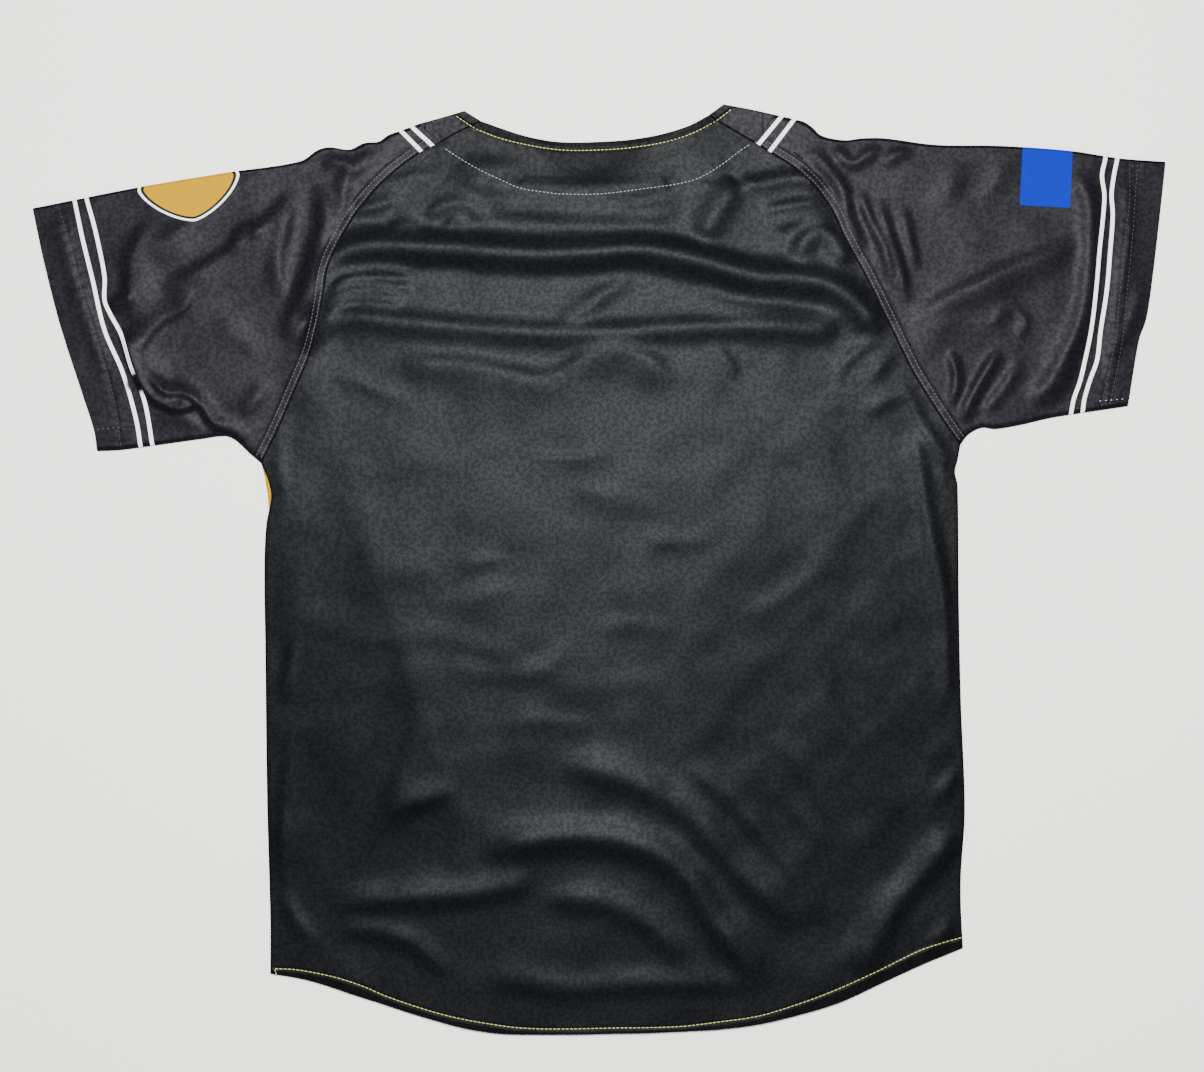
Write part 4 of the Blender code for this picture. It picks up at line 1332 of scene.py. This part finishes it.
    def front(self, side: Side) -> bpy.types.Object:
        """Builds one front, face down on the table.

        Args:
            side: which front.

        Returns:
            The front.
        """
        left = side is Side.LEFT
        keep = np.unique(np.concatenate([
            np.arange(0, len(self.left), self.front_every),
            np.arange(self.side_count - self.close_rows, self.side_count + 1),
            [len(self.left) - 1],
        ]))
        share = self.share[keep]
        edges = (self._peeked(self.left_in) if left else self.right_in)[keep]
        half = self.placket_width / 2
        centre = self.centre_edge(-half - SEAM_GAP if left else -half, share)

        def hem_bow(u: Array) -> Array:
            """How far the front's hem stands off its straight.

            Args:
                u: shares of the row's width.

            Returns:
                The distances in y, in millimetres.
            """
            x = edges[0, 0] + u * (centre[0, 0] - edges[0, 0])
            straight = edges[0, 1] + u * (centre[0, 1] - edges[0, 1])
            hem = np.interp(x, self.hem_line.points[:, 0], self.hem_line.points[:, 1])
            return hem + self.hem_inset * ease(u / 0.15) - straight

        def neck_bow(u: Array) -> Array:
            """How far the front's neckline hollows."""
            return -self.neck_hollow * np.sin(np.pi * u)

        faces: dict[int, list[Array]] = {0: [], 2: []}
        for number, (start, end) in enumerate(zip(edges, centre)):
            width = float(np.linalg.norm(end - start))
            edge = self._edge(keep[number] < self.side_count, upper=False)
            middle = np.linspace(ROUND, width - (0.0 if left else self.overlap), self.front_columns)[1:]
            if not left:
                middle = np.concatenate([middle, width - np.array(OVERLAP_COLUMNS)])
            for k, found in faces.items():
                distances = np.concatenate([edge[:, k], middle])
                z = np.concatenate([edge[:, k + 1], np.full(len(middle), edge[-1, k + 1])])
                xy = self._row(start, end, distances, share[number], hem_bow, neck_bow)
                if not left:
                    past = xy[:, 0] - self.centre_x(xy[:, 1]) - half - self.stand_start
                    z = z + (CLOTH + SEAM_GAP) * (1 - ease(past / self.stand_rise))
                found.append(np.column_stack([xy, z]))
        outer, inner = np.array(faces[0]), np.array(faces[2])
        gold = self._underarm_gold(outer[..., :2], side)
        return self.room.shell(
            f"front_{side.name.lower()}_cloth", outer, inner, BODY_CLOTH,
            nodes=[f"front_{side.name.lower()}"], slot="body_cloth",
            marks={"gold": gold + MARK_ZERO, "shade": 0.25 * self._front_hem(outer[..., :2])},
        )

    def _front_hem(self, xy: Array) -> Array:
        """1 on the front's turned hem."""
        return (self.hem_line.near(xy, 30.0)[0] < 8.0 + self.hem_inset).astype(float)

    def _underarm_gold(self, xy: Array, side: Side) -> Array:
        """How far inside the gold underarm corner a point lies.

        Args:
            xy: the plan points.
            side: which front they are on.

        Returns:
            The distance in from its edge, negative outside.
        """
        if side is Side.RIGHT:
            return np.full(xy.shape[:-1], -MARK_ZERO)
        inward = xy[..., 0] - np.interp(xy[..., 1], self.left[:, 1], self.left[:, 0])
        depth = 26.0 * np.clip(1 - np.abs(xy[..., 1] - 62.0) / 40.0, 0.0, 1.0)
        return depth - inward

    def placket(self) -> bpy.types.Object:
        """Builds the placket strip, with a round seat round each button.

        Returns:
            The placket.
        """
        half = self.placket_width / 2
        share = np.linspace(0.0, 1.0, self.placket_rows)
        left, right = self.centre_edge(-half, share), self.centre_edge(half, share)
        across = np.concatenate([[0.0, 0.01, 0.03], np.linspace(0.06, 0.94, 17), [0.97, 0.99, 1.0]])
        plan = left[:, None, :] + across[None, :, None] * (right - left)[:, None, :]
        inset = np.minimum(across, 1 - across) * self.placket_width
        under = np.broadcast_to(lip(inset, 0.4), plan.shape[:2])
        seam = 0.12 * np.exp(-(((inset - 4.0) / 0.9) ** 2))
        buttons = ButtonRow(self.room, self).places()
        gap = np.min(np.linalg.norm(plan[:, :, None, :] - buttons[None, None], axis=-1), -1)
        seat = self.seat_depth * ease((self.seat_radius - gap) / 1.6)
        under = under + seam + seat
        top = np.full(plan.shape[:2], CLOTH)
        under = np.minimum(under, CLOTH - 0.1)
        return self.room.shell(
            "placket_cloth", np.dstack([plan, under]), np.dstack([plan, top]), BODY_CLOTH,
            nodes=["placket"], slot="body_cloth", marks={"shade": np.zeros(plan.shape[:2])},
        )


PALE_LEFT: Points = (
    (-224, 82), (-203, 41), (-187, -1), (-170, -42), (-153, -101), (-132, -159), (-112, -217),
    (-96, -300),
    (-90, -400),
)
PALE_RIGHT: Points = (
    (234, 95), (217, 82), (159, 49), (101, 7), (76, -42), (67, -92), (76, -159), (100, -240), (130, -400),
)


@dataclass
class ButtonRow:
    """The buttons down the centre front, faces down."""

    room: Workroom
    body: Body
    count: int = 6
    first_y: float = 272.0
    pitch: float = 110.0
    radius: float = 5.6
    thickness: float = 1.1
    sides: int = 48

    def places(self) -> Array:
        """The centre of each button."""
        y = self.first_y - self.pitch * np.arange(self.count)
        return np.stack([self.body.centre_x(y), y], -1)

    def build(self) -> None:
        """Builds every button, with its rim and dished face."""
        profile = (
            (0.0, 0.35), (2.9, 0.35), (3.4, 0.12), (4.2, 0.0), (4.9, 0.05), (5.4, 0.3), (5.6, 0.65),
            (5.4, 0.95), (4.9, 1.1), (0.0, 1.1),
        )
        turns = np.linspace(0, 2 * np.pi, self.sides, endpoint=False)
        for number, (x, y) in enumerate(self.places(), 1):
            points, faces = [(x, y, profile[0][1])], []
            for radius, z in profile[1:-1]:
                points += [(x + radius * math.cos(t), y + radius * math.sin(t), z) for t in turns]
            points.append((x, y, profile[-1][1]))
            rings = len(profile) - 2
            last = len(points) - 1
            for k in range(self.sides):
                n = (k + 1) % self.sides
                faces.append((0, 1 + n, 1 + k))
                for ring in range(rings - 1):
                    a, b = 1 + ring * self.sides, 1 + (ring + 1) * self.sides
                    faces.append((a + k, a + n, b + n, b + k))
                faces.append((last, 1 + (rings - 1) * self.sides + k, 1 + (rings - 1) * self.sides + n))
            self.room.add(
                f"button_{number}_moulded", np.array(points), faces, ButtonFinish(),
                nodes=[f"button_{number}"], slot="button",
            )


@dataclass
class Sleeve:
    """A sleeve folded flat, as a tube from the cuff to the raglan seam."""

    room: Workroom
    lay: Lay
    side: Side
    station_step: float = 2.3
    columns: int = 116
    edge_angles: int = 5
    tuck_centre: tuple[float, float] = (-384.5, 155.0)
    tuck_size: tuple[float, float] = (9.0, 8.0)
    badge_centre: tuple[float, float] = (-342.0, 322.0)
    badge_half: tuple[float, float] = (38.0, 29.0)
    badge_turn: float = 9.5
    badge_roundness: float = 1.45
    patch_centre: tuple[float, float] = (373.0, 332.0)
    patch_half: tuple[float, float] = (21.0, 30.0)
    patch_turn: float = -3.0

    def _lines(self) -> tuple[Line, Line, Line, Line]:
        """The shoulder fold, the underarm edge, the cuff and the seam with the body.

        Returns:
            The four lines, in that order.
        """
        left = self.side is Side.LEFT
        fold = Line(LEFT_FOLD if left else RIGHT_FOLD)
        under = Line(LEFT_UNDERARM if left else RIGHT_UNDERARM)
        cuff = Line(LEFT_CUFF if left else RIGHT_CUFF)
        raglan = Line(LEFT_RAGLAN if left else RIGHT_RAGLAN).points[::-1]
        across = np.linspace(fold.points[-1], raglan[0], 12)[:-1]
        seam = np.vstack([across, raglan])
        along = np.gradient(seam, axis=0)
        along /= np.linalg.norm(along, axis=1)[:, None]
        square = np.stack([-along[:, 1], along[:, 0]], -1)
        sign = np.sign(((cuff.points.mean(0) - seam) * square).sum(1))
        return fold, under, cuff, Line(seam + square * (sign * SEAM_GAP / 2)[:, None], smooth=False)

    def build(self) -> bpy.types.Object:
        """Builds the sleeve's shell with its stripes, badge or patch marked.

        Returns:
            The sleeve.
        """
        fold, under, cuff, seam = self._lines()
        along = np.concatenate([
            np.linspace(0, 1, self.columns // 4)[:-1] * 0.16, np.linspace(0.16, 1, 3 * self.columns // 4),
        ])
        cuff_points, seam_points = cuff.at_shares(along), seam.at_shares(along)
        cuff_bow = cuff_points - (cuff_points[0] + along[:, None] * (cuff_points[-1] - cuff_points[0]))
        seam_bow = seam_points - (seam_points[0] + along[:, None] * (seam_points[-1] - seam_points[0]))
        fold_at = edge_shares(0.0, fold.length, self.station_step, FINE_EDGE)
        t = fold_at / fold.length
        first = CUFF_HEM / fold.length
        under_at = np.where(
            t < first, fold_at, CUFF_HEM + (t - first) / (1 - first) * (under.length - CUFF_HEM),
        )
        near_end = fold.length - fold_at
        under_at = np.where(near_end < FINE_EDGE[-1], under.length - near_end, under_at)
        under_at = np.maximum.accumulate(under_at)
        starts, ends = fold.at(fold_at), under.at(under_at)
        starts[-1], ends[-1] = seam_points[0], seam_points[-1]
        plans = []
        for n, (start, end) in enumerate(zip(starts, ends)):
            share = (t[n] + along * (under_at[n] / under.length - t[n]))[:, None]
            plans.append(start + along[:, None] * (end - start) + (1 - share) * cuff_bow + share * seam_bow)
        plan = np.array(plans)
        rise = self.lay.top(plan) - FLAT
        raglan = Line(LEFT_RAGLAN if self.side is Side.LEFT else RIGHT_RAGLAN)
        cut = np.minimum(cuff.near(plan, 4.0)[0], raglan.near(plan, 4.0)[0])
        down = lip(cut)
        outer, inner = fold_sections(plan, rise, down, self.edge_angles, ring=True)
        return self.room.shell(
            f"sleeve_{self.side.name.lower()}_cloth", outer, inner, SLEEVE_CLOTH, ring=True,
            nodes=[f"sleeve_{self.side.name.lower()}"], slot="sleeve_cloth",
            marks=self._marks(outer[..., :2], outer[..., 2] > ROUND),
        )

    def _marks(self, xy: Array, upper: Array) -> dict[str, Array]:
        """What is printed on the sleeve, as distances to each print's edge.

        Args:
            xy: the shell's plan points.
            upper: whether each lies on the upper layer.

        Returns:
            The marks, by name.
        """
        left = self.side is Side.LEFT
        sign = 1.0 if left else -1.0
        sleeve = LEFT_STRIPES if left else RIGHT_STRIPES
        shoulder = LEFT_SHOULDER_STRIPES if left else RIGHT_SHOULDER_STRIPES
        marks = {
            "sleeve_outer": MARK_ZERO + sign * Line(sleeve[0]).signed(xy),
            "sleeve_inner": MARK_ZERO + sign * Line(sleeve[1]).signed(xy),
            "shoulder_outer": MARK_ZERO + sign * Line(shoulder[0]).signed(xy),
            "shoulder_inner": MARK_ZERO + sign * Line(shoulder[1]).signed(xy),
        }
        hem = (LEFT_CUFF_STITCH if left else RIGHT_CUFF_STITCH).line.signed(xy)
        marks["shade"] = 0.10 * ease(hem * (-1 if left else 1) / 1.2)
        if left:
            tucked = np.linalg.norm((xy - np.array(self.tuck_centre)) / np.array(self.tuck_size), axis=-1)
            marks["tucked"] = ease((1.25 - tucked) / 0.4) * upper
            local = turned(xy - np.array(self.badge_centre), self.badge_turn) / np.array(self.badge_half)
            size = (np.abs(local) ** self.badge_roundness).sum(-1) ** (1 / self.badge_roundness)
            marks["badge"] = MARK_ZERO + (1 - size) * self.badge_half[1]
        else:
            box = np.abs(turned(xy - np.array(self.patch_centre), self.patch_turn)) - np.array(self.patch_half)
            marks["patch"] = MARK_ZERO - box.max(-1)
        return marks


@dataclass
class ShoulderPiece:
    """The piece over the shoulder, between the sleeve and the neck."""

    room: Workroom
    lay: Lay
    side: Side
    rows: int = 40
    columns: int = 34
    edge_angles: int = 5

    def build(self) -> bpy.types.Object:
        """Builds the folded piece.

        Returns:
            The shoulder piece.
        """
        left = self.side is Side.LEFT
        fold = Line(LEFT_SHOULDER if left else RIGHT_SHOULDER)
        yoke = Line(LEFT_YOKE if left else RIGHT_YOKE)
        fine = edge_shares(0.0, 1.0, 0.03, (0.0, 0.004, 0.012, 0.03))
        seam, folded = yoke.at_shares(fine), fold.at_shares(fine)
        towards = fold.points.mean(0) - yoke.points.mean(0)
        seam = seam + towards / np.linalg.norm(towards) * SEAM_GAP / 2
        across = np.linspace(0, 1, self.columns)
        plan = folded[:, None, :] + across[None, :, None] * (seam - folded)[:, None, :]
        rise = self.lay.top(plan) - FLAT
        neck_end = Line(np.array([plan[-1, 0], plan[-1, -1]]), smooth=False)
        cut = np.minimum(neck_end.near(plan, 4.0)[0], Line(seam, smooth=False).near(plan, 4.0)[0])
        outer, inner = fold_sections(plan, rise, lip(cut), self.edge_angles, ring=False)
        neck = NECK_STITCH.line.signed(outer[..., :2])
        return self.room.shell(
            f"shoulder_{self.side.name.lower()}_cloth", outer, inner, SLEEVE_CLOTH,
            nodes=[f"shoulder_{self.side.name.lower()}"], slot="sleeve_cloth",
            marks={"shade": 0.40 * ease(neck / 1.0)},
        )


def fold_round(corner: Array, inward: Array, radius: float, squeeze: float, angles: Array) -> Array:
    """The round of one fold, in one section.

    Args:
        corner: the plan point at the fold.
        inward: the plan direction away from it.
        radius: the round's radius.
        squeeze: how much lower the round is at a cut edge.
        angles: the angles of its points, from 90 degrees at the top.

    Returns:
        The round's points.
    """
    xy = corner + inward * (ROUND - radius * np.cos(angles))[:, None]
    return np.column_stack([xy, ROUND + (radius - squeeze) * np.sin(angles)])


def fold_sections(plan: Array, rise: Array, down: Array, angles: int, ring: bool) -> tuple[Array, Array]:
    """Wraps a flat plan into a folded piece, its lower layer on the table.

    Args:
        plan: rows of plan points from the shoulder fold to the other edge.
        rise: how far the upper layer is lifted at each point.
        down: how far its cut edges round off there.
        angles: how many points a quarter of a fold's round takes.
        ring: True where the other edge is a fold too.

    Returns:
        The outer and the inner grid of points.
    """
    turn = np.linspace(np.pi / 2, -np.pi / 2, 2 * angles - 1)
    grids: dict[float, list[Array]] = {ROUND: [], ROUND_INSIDE: []}
    for row, lift, cut in zip(plan, rise, down):
        first, last = row[1] - row[0], row[-2] - row[-1]
        first, last = first / np.linalg.norm(first), last / np.linalg.norm(last)
        for radius, sections in grids.items():
            sink = cut if radius == ROUND else np.zeros_like(cut)
            top = np.column_stack([row, ROUND + radius + lift - sink])
            low = np.column_stack([row, ROUND - radius + sink])
            near = fold_round(row[0], first, radius, sink[0], turn[::-1])
            far = fold_round(row[-1], last, radius, sink[-1], turn)
            if ring:
                parts = [near[angles - 1:], top[1:-1], far, low[1:-1][::-1], near[:angles - 1]]
            else:
                parts = [top[::-1][:-1], near[::-1], low[1:]]
            sections.append(np.vstack(parts))
    return np.array(grids[ROUND]), np.array(grids[ROUND_INSIDE])


@dataclass
class Stitching:
    """Every visible row of stitches, on the upper face."""

    room: Workroom
    lay: Lay
    lift: float = 0.2

    def row(
        self, name: str, line: Line, finish: ThreadFinish, stitch: float, gap: float, width: float,
        start: float = 0.0, end: float | None = None,
    ) -> bpy.types.Object:
        """Sews one row.

        Args:
            name: the row's name.
            line: where it runs.
            finish: its thread.
            stitch: the length of one stitch.
            gap: the space to the next.
            width: the thread's width.
            start: where along the line it starts.
            end: where it ends, at the line's end if not given.

        Returns:
            The row, as one piece.
        """
        end = line.length if end is None else end
        count = max(1, int((end - start) / (stitch + gap)))
        first = start + np.arange(count) * (end - start) / count
        shares = np.array([0.0, 0.2, 0.5, 0.8, 1.0])
        fat = np.array([0.35, 0.9, 1.0, 0.9, 0.35])
        at = first[:, None] + shares[None] * stitch
        centre = line.at(at)
        ahead = line.at(at + 0.5) - line.at(at - 0.5)
        ahead /= np.maximum(np.linalg.norm(ahead, axis=-1, keepdims=True), 1e-9)
        square = np.stack([-ahead[..., 1], ahead[..., 0]], -1)
        z = self.lay.top(centre) + self.lift
        half = width / 2 * fat
        points, faces = [], []
        ring = [(-1.0, 0.0), (-0.6, 0.7), (0.6, 0.7), (1.0, 0.0), (0.0, -0.6)]
        for k in range(count):
            base = len(points)
            for m in range(len(shares)):
                sink = 0.25 * (1 - fat[m])
                for across, up in ring:
                    xy = centre[k, m] + square[k, m] * across * half[m]
                    points.append((xy[0], xy[1], z[k, m] + up * half[m] - sink))
            n = len(ring)
            for m in range(len(shares) - 1):
                for j in range(n):
                    a, b = base + m * n + j, base + m * n + (j + 1) % n
                    faces.append((a, b, b + n, a + n))
            faces.append(tuple(base + j for j in range(n))[::-1])
            faces.append(tuple(base + (len(shares) - 1) * n + j for j in range(n)))
        return self.room.add(name, np.array(points), faces, finish)

    @staticmethod
    def _beside(line: Line, distance: float) -> Line:
        """A line beside another, on its left where the distance is positive.

        Args:
            line: the other line.
            distance: how far beside it.

        Returns:
            The new line.
        """
        along = np.gradient(line.points, axis=0)
        along /= np.linalg.norm(along, axis=1)[:, None]
        return Line(line.points + np.stack([-along[:, 1], along[:, 0]], -1) * distance, smooth=False)

    def sew(self) -> None:
        """Sews all the rows."""
        self.row("hem_stitches", HEM_STITCH.line, HEM_THREAD, 3.0, 0.5, 0.7)
        self.row(
            "hem_corner_stitches", Line(((-270, -333), (-268.5, -339.0)), smooth=False), HEM_THREAD,
            2.4, 0.4, 0.8,
        )
        self.row("neck_stitches", NECK_STITCH.line, HEM_THREAD, 2.6, 0.6, 0.7)
        self.row("facing_stitches", FACING_STITCH.line, PALE_THREAD, 2.2, 1.0, 0.55)
        for side, raglan, cuff, sign in (
            ("left", LEFT_RAGLAN, LEFT_CUFF_STITCH, 1.0), ("right", RIGHT_RAGLAN, RIGHT_CUFF_STITCH, -1.0),
        ):
            seam = Line(raglan)
            for number, off in enumerate((1.9, 6.0), 1):
                self.row(
                    f"raglan_{side}_stitches_{number}", self._beside(seam, sign * off), SEAM_THREAD,
                    2.6, 0.6, 0.6, start=4.0, end=seam.length - 4.0,
                )
            self.row(
                f"cuff_{side}_stitches", cuff.line, DARK_THREAD, 2.6, 0.9, 0.6, start=4.0,
                end=cuff.line.length - 3.0,
            )
        self.row(
            "cuff_right_second_stitches", RIGHT_CUFF_SECOND.line, DARK_THREAD, 2.6, 0.9, 0.6, start=4.0,
            end=RIGHT_CUFF_SECOND.line.length - 3.0,
        )
        self.row(
            "bar_tack_right", Line(((417, 140), (430, 141), (440, 142)), smooth=False), WHITE_THREAD,
            1.4, 3.0, 0.5,
        )
        self.row(
            "bar_tack_left", Line(((-418, 116), (-402, 118), (-393, 116)), smooth=False), SEAM_THREAD,
            1.8, 2.4, 0.6,
        )


@dataclass
class Studio:
    """The table, soft overhead light and the camera."""

    room: Workroom
    camera_height: float = 2.4
    frame_width: float = 1.0033
    centre: tuple[float, float] = (0.0025, 0.0275)
    key_power: float = 235.0
    key_size: float = 0.8
    key_y: float = 0.55
    key_height: float = 2.6
    ambient: float = 0.40
    lamp_colour: Colour = (0.965, 0.98, 1.0)
    room_colour: Colour = (0.95, 0.97, 1.0)
    table_half: float = 4.0
    table_gap: float = 0.0003
    sensor_width: float = 36.0
    cloth_height: float = 0.0035

    def table(self) -> None:
        """Lays the table top."""
        mesh = bpy.data.meshes.new("table_top")
        half = self.table_half
        corners = [(-half, -half, 0), (half, -half, 0), (half, half, 0), (-half, half, 0)]
        mesh.from_pydata(corners, [], [(0, 1, 2, 3)])
        mesh.materials.append(self.room.material(TableFinish()))
        top = bpy.data.objects.new("table_top", mesh)
        top.location.z = -self.table_gap
        bpy.context.scene.collection.objects.link(top)

    def light(self) -> None:
        """Hangs one wide soft light overhead and fills the room faintly."""
        lamp = bpy.data.lights.new("overhead", "AREA")
        lamp.shape = "DISK"
        lamp.size = self.key_size
        lamp.energy = self.key_power
        lamp.color = self.lamp_colour
        hung = bpy.data.objects.new("overhead", lamp)
        hung.location = (0.0, self.key_y, self.key_height)
        hung.rotation_euler = (math.atan2(-self.key_y, self.key_height), 0.0, 0.0)
        bpy.context.scene.collection.objects.link(hung)
        world = bpy.data.worlds.new("room")
        world.use_nodes = True
        back = world.node_tree.nodes["Background"]
        back.inputs["Color"].default_value = (*self.room_colour, 1.0)
        back.inputs["Strength"].default_value = self.ambient
        bpy.context.scene.world = world

    def camera(self) -> None:
        """Sets the camera straight above, framed as the jersey was pictured."""
        data = bpy.data.cameras.new("camera")
        data.sensor_fit = "HORIZONTAL"
        data.sensor_width = self.sensor_width
        data.lens = self.sensor_width * (self.camera_height - self.cloth_height) / self.frame_width
        camera = bpy.data.objects.new("camera", data)
        camera.location = (*self.centre, self.camera_height)
        bpy.context.scene.collection.objects.link(camera)
        bpy.context.scene.camera = camera


@dataclass(frozen=True)
class Cut:
    """The flat cut of one cloth piece, in metres."""

    piece: str
    width: float
    length: float
    area: float
    rests_on: tuple[str, ...] = ()


def main() -> None:
    """Builds the whole scene."""
    for item in list(bpy.data.objects):
        bpy.data.objects.remove(item, do_unlink=True)
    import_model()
    room, lay = Workroom(), Lay()
    body = Body(room, lay)
    body.back()
    body.front(Side.LEFT)
    body.front(Side.RIGHT)
    body.placket()
    ButtonRow(room, body).build()
    for side in Side:
        Sleeve(room, lay, side).build()
        ShoulderPiece(room, lay, side).build()
    Stitching(room, lay).sew()
    studio = Studio(room)
    studio.table()
    studio.light()
    studio.camera()


if __name__ == "__main__":
    logging.basicConfig(level=logging.INFO, format="%(message)s")
    main()
